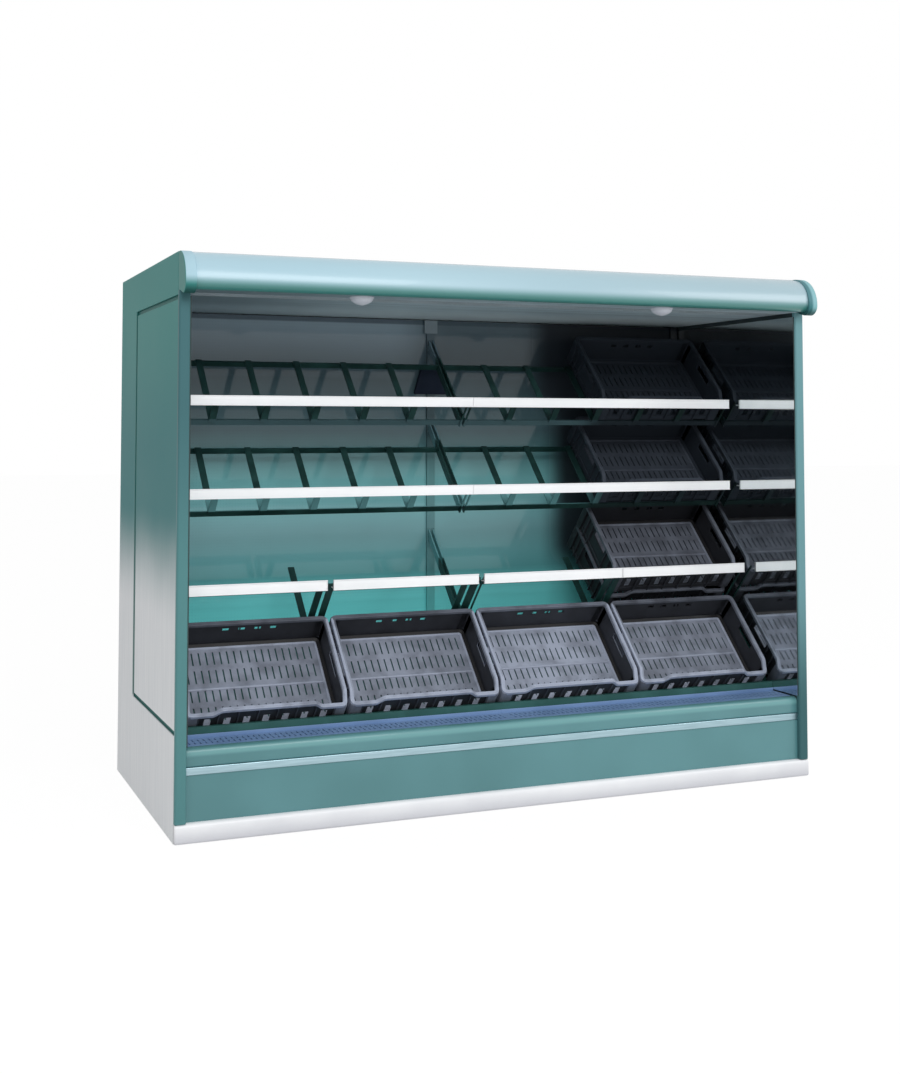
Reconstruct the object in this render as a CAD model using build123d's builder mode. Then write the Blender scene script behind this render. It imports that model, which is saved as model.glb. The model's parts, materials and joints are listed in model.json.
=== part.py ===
from build123d import *
from math import cos, radians, sin, tan
import os

os.makedirs("parts", exist_ok=True)

# Multideck display fridge with tilted crate racks. Lengths are millimetres.
# X runs along the case, the shopper stands on the -Y side, Z is up and the floor is at Z = 0.

# Crates and the slope they lie on
crate_length = 600
crate_depth = 400
crate_height = 130
crate_gap = 12
crate_wall = 4
crate_floor = 5
crate_rim = 9
crate_rim_height = 14
crate_corner = 45
slope_angle = 44
touch_gap = 0.5
seat_room = 2

# Openings of a crate
floor_slot_width = 46
floor_slot_length = 88
floor_slot_columns = 6
floor_slot_border = 42
floor_slot_rows = 3
floor_row_pitch = 110
wall_slot_width = 40
wall_slot_height = 18
wall_slot_count = 3
wall_slot_pitch = 64
front_slot_width = 28
front_slot_height = 40
front_slot_count = 4
front_slot_pitch = 60
shoulder_width = 105
shoulder_drop = 24
handle_width = 110
handle_height = 28

# Bays and end panels
bay_count = 4
bay_room = 25
end_thickness = 40
inset_depth = 8
inset_groove = 16
inset_stile = 345
inset_foot = 362
inset_head = 150
inset_chamfer = 2
post_depth = 20
post_round = 8
mirror_thickness = 4
mirror_margin = 12

# Base, from the floor up
ground_gap = 2
bumper_height = 68
bumper_depth = 22
bumper_round = 17
panel_height = 168
trim_height = 16
trim_depth = 5
trim_round = 4
lip_height = 64
lip_depth = 35
lip_round = 22
cover_sheet = 3
foot_height = 60
foot_radius = 32
foot_pad = 12
foot_taper = 15
foot_columns = 3
foot_sides = 12
stem_sides = 6
stem_radius = 9
frame_bar = 40
frame_inset = 70
frame_cross_count = 5
tub_floor = 45
tub_wall = 40
tub_setback = 25
drain_radius = 20
drain_bore = 17
drain_flange = 34
drain_flange_thickness = 4
drain_flange_sides = 6
drain_bore_sides = 12
drain_length = 55
drain_y = 300

# Deck and return-air grilles
grille_depth = 125
grille_thickness = 8
grille_slot_width = 30
grille_slot_count = 15
grille_border = 12
grille_room = 4
deck_step = 37
deck_ledge = 21
deck_sheet = 2
deck_stop = 54
deck_drop = 58
joggle = 12

# Racks
stop_room = 38
low_lift = 7
low_stack = 2
lift_room = 74
upper_room = 124
wall_room = 84
stop_drop = 13
low_stop_rise = 12
strip_width = 26
strip_thickness = 6
strip_count = 5
strip_reach = 348
low_reach = 316
low_bar_reach = 214
stop_foot = 30
side_plate = 6
side_depth = 32
rack_bar = 24
bar_thickness = 8
centre_gap = 9
outer_gap = 25
joint_offset = 40
rail_height = 46
rail_sheet = 4
rail_lip = 5
rail_reach = 29
rail_drop = 14
rail_hold = 12
rail_clip = 6

# Uprights, back panels and rear wall
upright_width = 36
upright_depth = 40
upright_proud = 10
slot_width = 9
slot_height = 18
slot_pitch = 28
slot_count = 2
tab_height = 14
tab_length = 14
tab_count = 2
head_plate = 60
panel_depth = 12
panel_sheet = 2
duct_depth = 120
rear_thickness = 70
rear_space = 57
rear_rib_width = 60
rear_rib_count = 4
rear_rib_angle = 70

# Cold works under the deck
coil_depth = 270
coil_height = 210
coil_fin_count = 14
coil_fin_gap = 6
coil_plate = 4
coil_slot_depth = 168
coil_room = 50
coil_foot = 25
coil_end_room = 110
fan_count = 4
fan_radius = 100
fan_gap = 7
fan_opening_sides = 20
fan_hub = 30
fan_hub_length = 36
fan_hub_sides = 10
fan_blades = 4
blade_width = 36
blade_sheet = 3
blade_pitch = 38
fan_plate_y = 420
fan_sheet = 3
fan_rise = 150
fan_plate_room = 8
motor_radius = 38
motor_sides = 12
motor_length = 52
motor_arm = 12
motor_arm_sheet = 4
motor_gap = 3
shaft_radius = 5
shaft_length = 30
shaft_sides = 8
running_gap = 0.05

# Canopy
soffit_room = 69
canopy_height = 136
canopy_overhang = 118
fascia_sheet = 3
nose_radius = 40
fascia_face = 112
cap_margin = 14
roof_thickness = 55
soffit_sheet = 2
sheet_room = 4
outlet_depth = 108
outlet_height = 20
outlet_vanes = 5
outlet_ribs = 3
outlet_vane = 3
outlet_front = 60
lamp_radius = 44
lamp_sides = 14
lamp_drop = 36
lamp_ease = 18
lamp_crown_ease = 8

# What follows from those sizes
slope_cos = cos(radians(slope_angle))
slope_sin = sin(radians(slope_angle))
bay_length = crate_length + bay_room
inner_length = bay_count * bay_length
half_inner = inner_length / 2
half_outer = half_inner + end_thickness
crate_pitch = crate_length + crate_gap
mirror_face = half_inner - mirror_thickness
bumper_top = ground_gap + bumper_height
panel_top = bumper_top + panel_height
trim_top = panel_top + trim_height
lip_top = trim_top + lip_height
frame_top = foot_height + frame_bar
tub_top = frame_top + tub_floor
grille_rear = lip_depth + grille_depth
floor_off = touch_gap + deck_sheet / 2
stop_off = seat_room + deck_sheet / 2


def on_slope(seat, along, out):
    """Point of the side view, measured from a crate seat along the slope and out of it."""
    seat_y, seat_z = seat
    y = seat_y + along * slope_cos - out * slope_sin
    z = seat_z + along * slope_sin + out * slope_cos
    return (y, z)


# Crate seats: the front lower corner of each row of crates in the side view
deck_seat_y = grille_rear + deck_ledge + stop_off * slope_cos + deck_stop * slope_sin
deck_level = lip_top + deck_step - deck_sheet / 2
deck_seat_z = deck_level + stop_off * slope_sin - deck_stop * slope_cos
deck_seat = (deck_seat_y, deck_seat_z)
low_seat = on_slope(deck_seat, crate_depth + stop_room, low_lift)
low_rise = low_stack * (crate_height + touch_gap) + lift_room
middle_seat = (low_seat[0], low_seat[1] + low_rise / slope_cos)
top_seat = (middle_seat[0], middle_seat[1] + (crate_height + upper_room) / slope_cos)
wall_y = low_seat[0] + crate_depth * slope_cos + wall_room
soffit_z = top_seat[1] + crate_depth * slope_sin + crate_height * slope_cos + soffit_room
case_height = soffit_z + canopy_height
rear_wall_y = wall_y + duct_depth
rear_face_y = rear_wall_y + rear_thickness
case_depth = rear_face_y + rear_space
front_y = canopy_overhang - (case_depth + canopy_overhang) / 2
upright_front = wall_y - upright_proud
rack_inner = centre_gap
rack_outer = half_inner - outer_gap
stop_height = crate_height - stop_drop
low_stop_height = low_stack * crate_height + low_stop_rise
strip_rear = strip_thickness / 2
strip_front = strip_rear + strip_thickness


def side_plane(x):
    """Upright plane across the case: its X runs from the base front to the rear, its Y is up."""
    return Plane(origin=(x, front_y, 0), x_dir=(0, 1, 0), z_dir=(1, 0, 0))


def seat_plane(seat, x):
    """Plane of a crate seat: X along the case, Y up the slope, Z out of the crate."""
    return Plane(
        origin=(x, front_y + seat[0], seat[1]),
        x_dir=(1, 0, 0),
        z_dir=(0, -slope_sin, slope_cos),
    )


def floor_plane(z):
    """Level plane at a height, with its origin on the front face of the base."""
    return Plane(origin=(0, front_y, z))


def keep(piece, name):
    """Label a finished piece and write it under its own name."""
    piece.part.label = name
    export_step(piece.part, f"parts/{name}.step")


def run_of(points, start, length):
    """Solid of a side-view outline, carried along the case from X = start."""
    with BuildPart() as run:
        with BuildSketch(side_plane(start)):
            with BuildLine():
                Polyline(*points, close=True)
            make_face()
        extrude(amount=length)
    return run


def folded_sheet(points, sheet, start, length):
    """Folded sheet that follows a side-view line, carried along the case from X = start."""
    with BuildPart() as fold:
        with BuildSketch(side_plane(start)):
            with BuildLine():
                Polyline(*points)
            trace(line_width=sheet)
        extrude(amount=length)
    return fold


# Base frame: two long tubes joined by cross tubes
frame_rear = rear_face_y - frame_inset
frame_half = half_inner - frame_inset
cross_pitch = (2 * frame_half - frame_bar) / (frame_cross_count - 1)
drain_x = cross_pitch / 2
with BuildPart() as base_frame:
    with BuildSketch(floor_plane(foot_height)):
        for rail_y in (frame_inset, frame_rear):
            with Locations((0, rail_y)):
                Rectangle(2 * frame_half, frame_bar)
        with Locations((0, (frame_inset + frame_rear) / 2)):
            with GridLocations(cross_pitch, 0, frame_cross_count, 1):
                Rectangle(frame_bar, frame_rear - frame_inset)
    extrude(amount=frame_bar)
keep(base_frame, "base_frame")

# Levelling feet: a pad and a stem under each end and the middle of both long tubes
foot_span = frame_half - frame_bar / 2
with BuildPart() as levelling_feet:
    foot_middle = (frame_inset + frame_rear) / 2
    with BuildSketch(floor_plane(0)):
        with Locations((0, foot_middle)):
            with GridLocations(foot_span, frame_rear - frame_inset, foot_columns, 2):
                RegularPolygon(foot_radius, foot_sides)
    extrude(amount=foot_pad, taper=foot_taper)
    with BuildSketch(floor_plane(foot_pad)):
        with Locations((0, foot_middle)):
            with GridLocations(foot_span, frame_rear - frame_inset, foot_columns, 2):
                RegularPolygon(stem_radius, stem_sides)
    extrude(amount=foot_height - foot_pad)
keep(levelling_feet, "levelling_feet")

# Insulated tub: floor, front wall and a low rear upstand, with the drain through the floor
tub_front = tub_setback
tub_wall_top = trim_top + lip_height / 2
with BuildPart() as insulated_tub:
    with BuildSketch(side_plane(-half_inner)):
        with BuildLine():
            Polyline(
                (tub_front, frame_top),
                (rear_face_y, frame_top),
                (rear_face_y, tub_top),
                (tub_front + tub_wall, tub_top),
                (tub_front + tub_wall, tub_wall_top),
                (tub_front, tub_wall_top),
                close=True,
            )
        make_face()
    extrude(amount=inner_length)
    with BuildSketch(floor_plane(frame_top)):
        with Locations((drain_x, drain_y)):
            RegularPolygon(drain_bore, drain_bore_sides)
    extrude(amount=tub_floor, mode=Mode.SUBTRACT)
keep(insulated_tub, "insulated_tub")

# Drain outlet: a spigot under a six-sided flange that lies against the tub
with BuildPart() as drain_outlet:
    with BuildSketch(floor_plane(frame_top - drain_length)):
        with Locations((drain_x, drain_y)):
            Circle(drain_radius)
    extrude(amount=drain_length)
    with BuildSketch(floor_plane(frame_top - drain_flange_thickness)):
        with Locations((drain_x, drain_y)):
            RegularPolygon(drain_flange, drain_flange_sides)
    extrude(amount=drain_flange_thickness)
    with BuildSketch(floor_plane(frame_top - drain_length)):
        with Locations((drain_x, drain_y)):
            RegularPolygon(drain_bore, drain_bore_sides)
    extrude(amount=drain_length, mode=Mode.SUBTRACT)
keep(drain_outlet, "drain_outlet")

# Insulated rear wall with upright stiffening ribs on its outside
roof_bottom = case_height - roof_thickness
rib_pitch = (inner_length - rear_rib_width) / (rear_rib_count - 1)
with BuildPart() as rear_insulated_wall:
    with BuildSketch(floor_plane(tub_top)):
        with Locations((0, rear_wall_y + rear_thickness / 2)):
            Rectangle(inner_length, rear_thickness)
        with Locations((0, rear_face_y + rear_space / 2)):
            with GridLocations(rib_pitch, 0, rear_rib_count, 1):
                Trapezoid(rear_rib_width, rear_space, rear_rib_angle, rotation=180)
    extrude(amount=roof_bottom - tub_top)
keep(rear_insulated_wall, "rear_insulated_wall")

# Roof panel across the whole case
with BuildPart() as roof_panel:
    with BuildSketch(floor_plane(roof_bottom)):
        with Locations((0, case_depth / 2)):
            Rectangle(inner_length, case_depth)
    extrude(amount=roof_thickness)
keep(roof_panel, "roof_panel")

# End panels with a recess for the inset panel, the front posts, the insets and the mirrors
inset_top = case_height - inset_head
inset_rear = case_depth - inset_stile
inset_middle_y = inset_rear / 2
inset_middle_z = (inset_top + inset_foot) / 2
mirror_top = soffit_z - mirror_margin
mirror_rear = upright_front - mirror_margin
mirror_front = post_round - post_depth
for side_name, side in (("left", -1), ("right", 1)):
    outer_face = side * half_outer
    inner_face = side * half_inner
    with BuildPart() as end_panel:
        with BuildSketch(side_plane(inner_face)):
            with Locations((case_depth / 2, (case_height + ground_gap) / 2)):
                Rectangle(case_depth, case_height - ground_gap)
        extrude(amount=side * end_thickness)
        with BuildSketch(side_plane(outer_face)):
            with Locations((inset_middle_y, inset_middle_z)):
                Rectangle(inset_rear, inset_top - inset_foot)
        extrude(amount=-side * inset_depth, mode=Mode.SUBTRACT)
    keep(end_panel, f"end_panel_{side_name}")

    with BuildPart() as end_inset:
        with BuildSketch(side_plane(outer_face - side * inset_depth)):
            with Locations((inset_middle_y - inset_groove / 2, inset_middle_z)):
                Rectangle(inset_rear - inset_groove, inset_top - inset_foot - 2 * inset_groove)
        extrude(amount=side * (inset_depth - touch_gap))
        shown_face = end_inset.faces().sort_by(Axis((0, 0, 0), (side, 0, 0)))[-1]
        chamfer(shown_face.edges(), length=inset_chamfer)
    keep(end_inset, f"end_inset_{side_name}")

    with BuildPart() as end_post:
        with BuildSketch(floor_plane(bumper_top)):
            with Locations((side * (half_inner + end_thickness / 2), -post_depth / 2)):
                Rectangle(end_thickness, post_depth)
        extrude(amount=soffit_z - bumper_top)
        fillet(end_post.edges().filter_by(Axis.Z).group_by(Axis.Y)[0], radius=post_round)
    keep(end_post, f"end_post_{side_name}")

    with BuildPart() as mirror_sheet:
        with BuildSketch(side_plane(inner_face)):
            with Locations(((mirror_rear + mirror_front) / 2, (mirror_top + lip_top) / 2)):
                Rectangle(mirror_rear - mirror_front, mirror_top - lip_top - mirror_margin)
        extrude(amount=-side * mirror_thickness)
    keep(mirror_sheet, f"mirror_{side_name}")

# Bumper along the foot of the front
with BuildPart() as bumper:
    with BuildSketch(side_plane(-half_outer)):
        with Locations((0, ground_gap + bumper_height / 2)):
            Rectangle(bumper_depth, bumper_height, align=(Align.MAX, Align.CENTER))
    extrude(amount=2 * half_outer)
    fillet(bumper.edges().filter_by(Axis.X).group_by(Axis.Y)[0], radius=bumper_round)
keep(bumper, "bumper")

# Front panel: a folded cover with returns top and bottom
panel_points = (
    (tub_front - cover_sheet, bumper_top + cover_sheet / 2),
    (cover_sheet / 2, bumper_top + cover_sheet / 2),
    (cover_sheet / 2, panel_top - cover_sheet / 2),
    (tub_front - cover_sheet, panel_top - cover_sheet / 2),
)
front_panel = folded_sheet(panel_points, cover_sheet, -half_inner, inner_length)
keep(front_panel, "front_panel")

# Trim strip: a shallow channel with rounded edges between the panel and the lip
with BuildPart() as trim_strip:
    with BuildSketch(side_plane(-half_inner)):
        with Locations((0, panel_top + trim_height / 2)):
            Rectangle(trim_depth + cover_sheet, trim_height, align=(Align.MIN, Align.CENTER))
        with Locations((0, panel_top + trim_height / 2)):
            Rectangle(trim_depth, trim_height, align=(Align.MAX, Align.CENTER))
    extrude(amount=inner_length)
    fillet(trim_strip.edges().filter_by(Axis.X).group_by(Axis.Y)[0], radius=trim_round)
keep(trim_strip, "trim_strip")

# Front lip: rounded cover over the tub front wall, with a ledge for the grille
ledge_z = lip_top - grille_thickness - cover_sheet / 2
with BuildPart() as front_lip:
    with BuildSketch(side_plane(-half_inner)):
        with BuildLine():
            face = Polyline(
                (tub_front - cover_sheet, trim_top + cover_sheet / 2),
                (cover_sheet / 2, trim_top + cover_sheet / 2),
                (cover_sheet / 2, lip_top - cover_sheet / 2 - lip_round),
            )
            nose = TangentArc(
                face @ 1,
                (cover_sheet / 2 + lip_round, lip_top - cover_sheet / 2),
                tangent=face % 1,
            )
            Polyline(
                nose @ 1,
                (lip_depth - cover_sheet / 2, lip_top - cover_sheet / 2),
                (lip_depth - cover_sheet / 2, ledge_z),
                (lip_depth + joggle, ledge_z),
            )
        trace(line_width=cover_sheet)
    extrude(amount=inner_length)
keep(front_lip, "front_lip")

# Return-air grilles: two slotted plates that lie between the lip and the deck
grille_length = mirror_face - 2 * touch_gap
grille_run = grille_depth - grille_room
slot_step = (grille_length - 2 * grille_border) / grille_slot_count
for side_name, side in (("left", -1), ("right", 1)):
    with BuildPart() as return_grille:
        grille_x = side * (grille_length / 2 + touch_gap / 2)
        with BuildSketch(floor_plane(lip_top - grille_thickness)):
            with Locations((grille_x, lip_depth + grille_depth / 2)):
                Rectangle(grille_length, grille_run)
                with GridLocations(slot_step, 0, grille_slot_count, 1):
                    Rectangle(grille_slot_width, grille_run - 2 * grille_border, mode=Mode.SUBTRACT)
        extrude(amount=grille_thickness)
    keep(return_grille, f"return_grille_{side_name}")

# Deck plate: joggled under the grille, stepped up to the crate fronts, then up the slope and level
joggle_z = lip_top - grille_thickness - deck_sheet / 2
deck_corner = on_slope(deck_seat, -stop_off, -floor_off)
deck_crest = on_slope(deck_seat, crate_depth + seat_room, -floor_off)
deck_rear_z = deck_crest[1] - deck_drop
deck_points = (
    (grille_rear - joggle, joggle_z),
    (grille_rear + deck_sheet / 2, joggle_z),
    (grille_rear + deck_sheet / 2, deck_level),
    (grille_rear + deck_ledge, deck_level),
    deck_corner,
    deck_crest,
    (deck_crest[0], deck_rear_z),
    (upright_front - 2 * touch_gap, deck_rear_z),
)
deck_half = mirror_face - 2 * touch_gap
deck_plate = folded_sheet(deck_points, deck_sheet, -deck_half, 2 * deck_half)
keep(deck_plate, "deck_plate")

# Uprights: slotted posts that carry the racks, the middle one with a fixing plate at its head
rack_seats = (low_seat, middle_seat, top_seat)


def hook_z(seat):
    """Height of the middle of a rack side plate where it meets the uprights."""
    out = -side_depth / 2
    along = (upright_front - seat[0] + out * slope_sin) / slope_cos
    return on_slope(seat, along, out)[1]


upright_top = soffit_z - sheet_room
upright_slots = {
    "left": (-rack_outer,),
    "centre": (-rack_inner, rack_inner),
    "right": (rack_outer,),
}
upright_places = {
    "left": -(mirror_face - upright_width / 2),
    "centre": 0,
    "right": mirror_face - upright_width / 2,
}
for post_name, slot_columns in upright_slots.items():
    with BuildPart() as upright:
        post_x = upright_places[post_name]
        with BuildSketch(floor_plane(tub_top)):
            with Locations((post_x, upright_front + upright_depth / 2)):
                Rectangle(upright_width, upright_depth)
            with Locations((post_x, upright_front + panel_sheet)):
                Rectangle(
                    upright_width - 2 * panel_sheet,
                    upright_depth,
                    align=(Align.CENTER, Align.MIN),
                    mode=Mode.SUBTRACT,
                )
        extrude(amount=upright_top - tub_top)
        if post_name == "centre":
            with BuildSketch(floor_plane(upright_top - head_plate)):
                with Locations((post_x, upright_front)):
                    Rectangle(head_plate, panel_sheet, align=(Align.CENTER, Align.MAX))
            extrude(amount=head_plate)
        for seat in rack_seats:
            for slot_x in slot_columns:
                slot_face = Plane(
                    origin=(slot_x, front_y + upright_front, hook_z(seat)),
                    x_dir=(1, 0, 0),
                    z_dir=(0, -1, 0),
                )
                with BuildSketch(slot_face):
                    with GridLocations(0, slot_pitch, 1, slot_count):
                        Rectangle(slot_width, slot_height)
                extrude(amount=-panel_sheet, mode=Mode.SUBTRACT)
    keep(upright, f"upright_{post_name}")

# Back panels: shallow pans that close the duct between the uprights
panel_inner = upright_width / 2 + touch_gap
panel_outer = mirror_face - upright_width - touch_gap
panel_middle = (panel_inner + panel_outer) / 2
for side_name, side in (("left", -1), ("right", 1)):
    with BuildPart() as back_panel:
        with BuildSketch(floor_plane(deck_rear_z)):
            with Locations((side * panel_middle, wall_y)):
                Rectangle(panel_outer - panel_inner, panel_depth, align=(Align.CENTER, Align.MIN))
            with Locations((side * panel_middle, wall_y + panel_sheet)):
                Rectangle(
                    panel_outer - panel_inner - 2 * panel_sheet,
                    panel_depth,
                    align=(Align.CENTER, Align.MIN),
                    mode=Mode.SUBTRACT,
                )
        extrude(amount=upright_top - deck_rear_z)
    keep(back_panel, f"back_panel_{side_name}")


def side_plate_outline(seat, stop):
    """Outline of a rack side plate: an arm under the crates that turns up in front of them."""
    lower = (upright_front - seat[0] - side_depth * slope_sin) / slope_cos
    upper = (upright_front - seat[0] - touch_gap * slope_sin) / slope_cos
    return (
        on_slope(seat, -strip_front, -side_depth),
        on_slope(seat, lower, -side_depth),
        on_slope(seat, upper, -touch_gap),
        on_slope(seat, -strip_rear, -touch_gap),
        on_slope(seat, -strip_rear, stop),
        on_slope(seat, -strip_front, stop),
    )


def bar_outline(seat, along):
    """Flat bar on edge under the strips, seen from the side, from a place on the slope upwards."""
    lower = -rack_bar - strip_thickness
    upper = -strip_thickness
    return (
        on_slope(seat, along, lower),
        on_slope(seat, along + bar_thickness, lower),
        on_slope(seat, along + bar_thickness, upper),
        on_slope(seat, along, upper),
    )


def make_rack(name, seat, side, stop, strips, rear_bar):
    """One welded rack half: side plates with hooks, two bars and bent strips under the crates."""
    inner = side * rack_inner
    outer = side * rack_outer
    left_end = min(inner, outer)
    rack_run = rack_outer - rack_inner
    strip_line = strip_thickness / 2 + touch_gap
    stop_middle = (strip_rear + strip_front) / 2
    with BuildPart() as rack:
        for plate_x in (inner, outer):
            with BuildSketch(side_plane(plate_x - side_plate / 2)):
                with BuildLine():
                    Polyline(*side_plate_outline(seat, stop), close=True)
                make_face()
            extrude(amount=side_plate)
            with BuildSketch(side_plane(plate_x - side_plate / 2)):
                with Locations((upright_front, hook_z(seat))):
                    with GridLocations(0, slot_pitch, 1, tab_count):
                        Rectangle(tab_length, tab_height, align=(Align.MIN, Align.CENTER))
            extrude(amount=side_plate)
        for bar_along in (0, rear_bar):
            with BuildSketch(side_plane(left_end)):
                with BuildLine():
                    Polyline(*bar_outline(seat, bar_along), close=True)
                make_face()
            extrude(amount=rack_run)
        for strip_x, reach in strips:
            with BuildSketch(side_plane(strip_x - strip_width / 2)):
                with BuildLine():
                    Polyline(
                        on_slope(seat, reach, -strip_line),
                        on_slope(seat, -stop_middle, -strip_line),
                        on_slope(seat, -stop_middle, stop),
                    )
                trace(line_width=strip_thickness)
            extrude(amount=strip_width)
    keep(rack, name)


# Racks: even strips on the upper levels, one long and one short strip at each bay joint on the low one
strip_step = (rack_outer - rack_inner) / (strip_count + 1)
strip_places = [(index + 1) * strip_step for index in range(strip_count)]
upper_bar = strip_reach - bar_thickness
low_bar = low_bar_reach - bar_thickness
for side_name, side in (("left", -1), ("right", 1)):
    half_start = min(side * half_inner, 0)
    even_strips = [(half_start + place, strip_reach) for place in strip_places]
    bay_joint = side * bay_length
    joint_strips = [(bay_joint - joint_offset, low_reach), (bay_joint, stop_foot)]
    make_rack(f"top_rack_{side_name}", top_seat, side, stop_height, even_strips, upper_bar)
    make_rack(f"middle_rack_{side_name}", middle_seat, side, stop_height, even_strips, upper_bar)
    make_rack(f"low_rack_{side_name}", low_seat, side, low_stop_height, joint_strips, low_bar)


def rail_outline(seat, stop):
    """Price rail from the side: an upright label channel with a leg back to the rack stops."""
    stop_line = -strip_front - touch_gap / 2
    low_y, low_z = on_slope(seat, stop_line, stop - rail_hold - rail_clip)
    high_y, high_z = on_slope(seat, stop_line, stop - rail_hold)
    face = low_y - rail_reach
    foot = low_z - rail_drop
    head = foot + rail_height
    back = face + rail_sheet
    return (
        (face - rail_lip, foot),
        (back, foot),
        (back, low_z),
        (low_y, low_z),
        (high_y, high_z),
        (back, high_z),
        (back, head),
        (face - rail_lip, head),
        (face - rail_lip, head - rail_sheet / 2),
        (face, head - rail_sheet / 2),
        (face, foot + rail_sheet / 2),
        (face - rail_lip, foot + rail_sheet / 2),
    )


# Price rails: one per half on the upper racks, one per bay on the low rack
rail_end = rack_outer - strip_thickness
rail_half = rail_end - touch_gap
for side_name, side in (("left", -1), ("right", 1)):
    rail_start = min(side * touch_gap, side * rail_end)
    for level_name, seat in (("top", top_seat), ("middle", middle_seat)):
        rail = run_of(rail_outline(seat, stop_height), rail_start, rail_half)
        keep(rail, f"{level_name}_rail_{side_name}")

low_rail_points = rail_outline(low_seat, low_stop_height)
low_rail_ends = [-rail_end, -bay_length, 0, bay_length, rail_end]
with BuildPart() as low_rails:
    for rail_left, rail_right in zip(low_rail_ends, low_rail_ends[1:]):
        with BuildSketch(side_plane(rail_left + touch_gap)):
            with BuildLine():
                Polyline(*low_rail_points, close=True)
            make_face()
        extrude(amount=rail_right - rail_left - 2 * touch_gap)
keep(low_rails, "low_rails")

# Evaporator coil: a finned block between two end plates that stand on the tub floor
coil_half = half_inner - coil_end_room
coil_y = fan_plate_y + motor_length + coil_room
fin_step = 2 * coil_half / coil_fin_count
with BuildPart() as evaporator_coil:
    with BuildSketch(floor_plane(tub_top + coil_foot)):
        with Locations((0, coil_y + coil_depth / 2)):
            Rectangle(2 * coil_half, coil_depth)
    extrude(amount=coil_height)
    with BuildSketch(floor_plane(tub_top + coil_foot + coil_height)):
        with Locations((0, coil_y + coil_depth / 2)):
            with GridLocations(fin_step, 0, coil_fin_count, 1):
                Rectangle(coil_fin_gap, coil_depth)
    extrude(amount=-coil_slot_depth, mode=Mode.SUBTRACT)
    for plate_x in (-coil_half, coil_half - coil_plate):
        with BuildSketch(side_plane(plate_x)):
            with Locations((coil_y, tub_top)):
                Rectangle(coil_depth, coil_height + coil_foot, align=Align.MIN)
        extrude(amount=coil_plate)
keep(evaporator_coil, "evaporator_coil")

# Fan plate: an upright wall across the tub with one round opening for each fan
fan_z = tub_top + fan_rise
fan_step = inner_length / fan_count
fan_places = [(index - (fan_count - 1) / 2) * fan_step for index in range(fan_count)]
deck_rise = (fan_plate_y - deck_seat[0]) * tan(radians(slope_angle))
fan_plate_top = deck_seat[1] + deck_rise - fan_plate_room
fan_wall = Plane(origin=(0, front_y + fan_plate_y, fan_z), x_dir=(1, 0, 0), z_dir=(0, -1, 0))
with BuildPart() as fan_plate:
    with BuildSketch(floor_plane(tub_top)):
        with Locations((0, fan_plate_y)):
            Rectangle(2 * deck_half, fan_sheet, align=(Align.CENTER, Align.MIN))
    extrude(amount=fan_plate_top - tub_top)
    with BuildSketch(fan_wall):
        with GridLocations(fan_step, 0, fan_count, 1):
            RegularPolygon(fan_radius + fan_gap, fan_opening_sides)
    extrude(amount=-fan_sheet, mode=Mode.SUBTRACT)
keep(fan_plate, "fan_plate")

# Fan motors: each a can on crossed arms behind its opening, with a shaft to the front
arm_length = 2 * (fan_radius + fan_gap + motor_arm)
arm_face = Plane(
    origin=(0, front_y + fan_plate_y + fan_sheet, fan_z), x_dir=(1, 0, 0), z_dir=(0, 1, 0)
)
with BuildPart() as fan_motors:
    with BuildSketch(arm_face):
        with GridLocations(fan_step, 0, fan_count, 1):
            Rectangle(arm_length, motor_arm)
            Rectangle(motor_arm, arm_length)
    extrude(amount=motor_arm_sheet)
    with BuildSketch(arm_face):
        with GridLocations(fan_step, 0, fan_count, 1):
            RegularPolygon(motor_radius, motor_sides)
    extrude(amount=motor_length)
    with BuildSketch(arm_face):
        with GridLocations(fan_step, 0, fan_count, 1):
            RegularPolygon(shaft_radius, shaft_sides)
    extrude(amount=-shaft_length)
keep(fan_motors, "fan_motors")

# Fan wheels: a hub on the motor shaft with pitched blades
hub_rear = fan_plate_y + fan_sheet - motor_gap
hub_middle = hub_rear - fan_hub_length / 2
for fan_index, fan_x in enumerate(fan_places):
    fan_axis = Plane(
        origin=(fan_x, front_y + hub_rear, fan_z), x_dir=(1, 0, 0), z_dir=(0, -1, 0)
    )
    with BuildPart() as fan:
        with BuildSketch(fan_axis):
            RegularPolygon(fan_hub, fan_hub_sides)
        extrude(amount=fan_hub_length)
        for blade_index in range(fan_blades):
            turn = 360 * blade_index / fan_blades
            blade_axis = Plane(
                origin=(fan_x, front_y + hub_middle, fan_z),
                x_dir=(0, -1, 0),
                z_dir=(cos(radians(turn)), 0, sin(radians(turn))),
            )
            with BuildSketch(blade_axis.offset(fan_hub - 2 * blade_sheet)):
                Rectangle(blade_width, blade_sheet, rotation=blade_pitch)
            extrude(amount=fan_radius - fan_hub)
        with BuildSketch(fan_axis):
            Circle(shaft_radius + running_gap)
        extrude(amount=shaft_length, mode=Mode.SUBTRACT)
    keep(fan, f"fan_{fan_index + 1}")

# Soffit: the level ceiling sheet between the air outlet and the back panels
outlet_rear = outlet_front + outlet_depth
soffit_points = (
    (outlet_rear + touch_gap + soffit_sheet / 2, soffit_z + outlet_height),
    (outlet_rear + touch_gap + soffit_sheet / 2, soffit_z + soffit_sheet / 2),
    (wall_y + panel_depth, soffit_z + soffit_sheet / 2),
)
soffit = folded_sheet(soffit_points, soffit_sheet, -half_inner, inner_length)
keep(soffit, "soffit")

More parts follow.
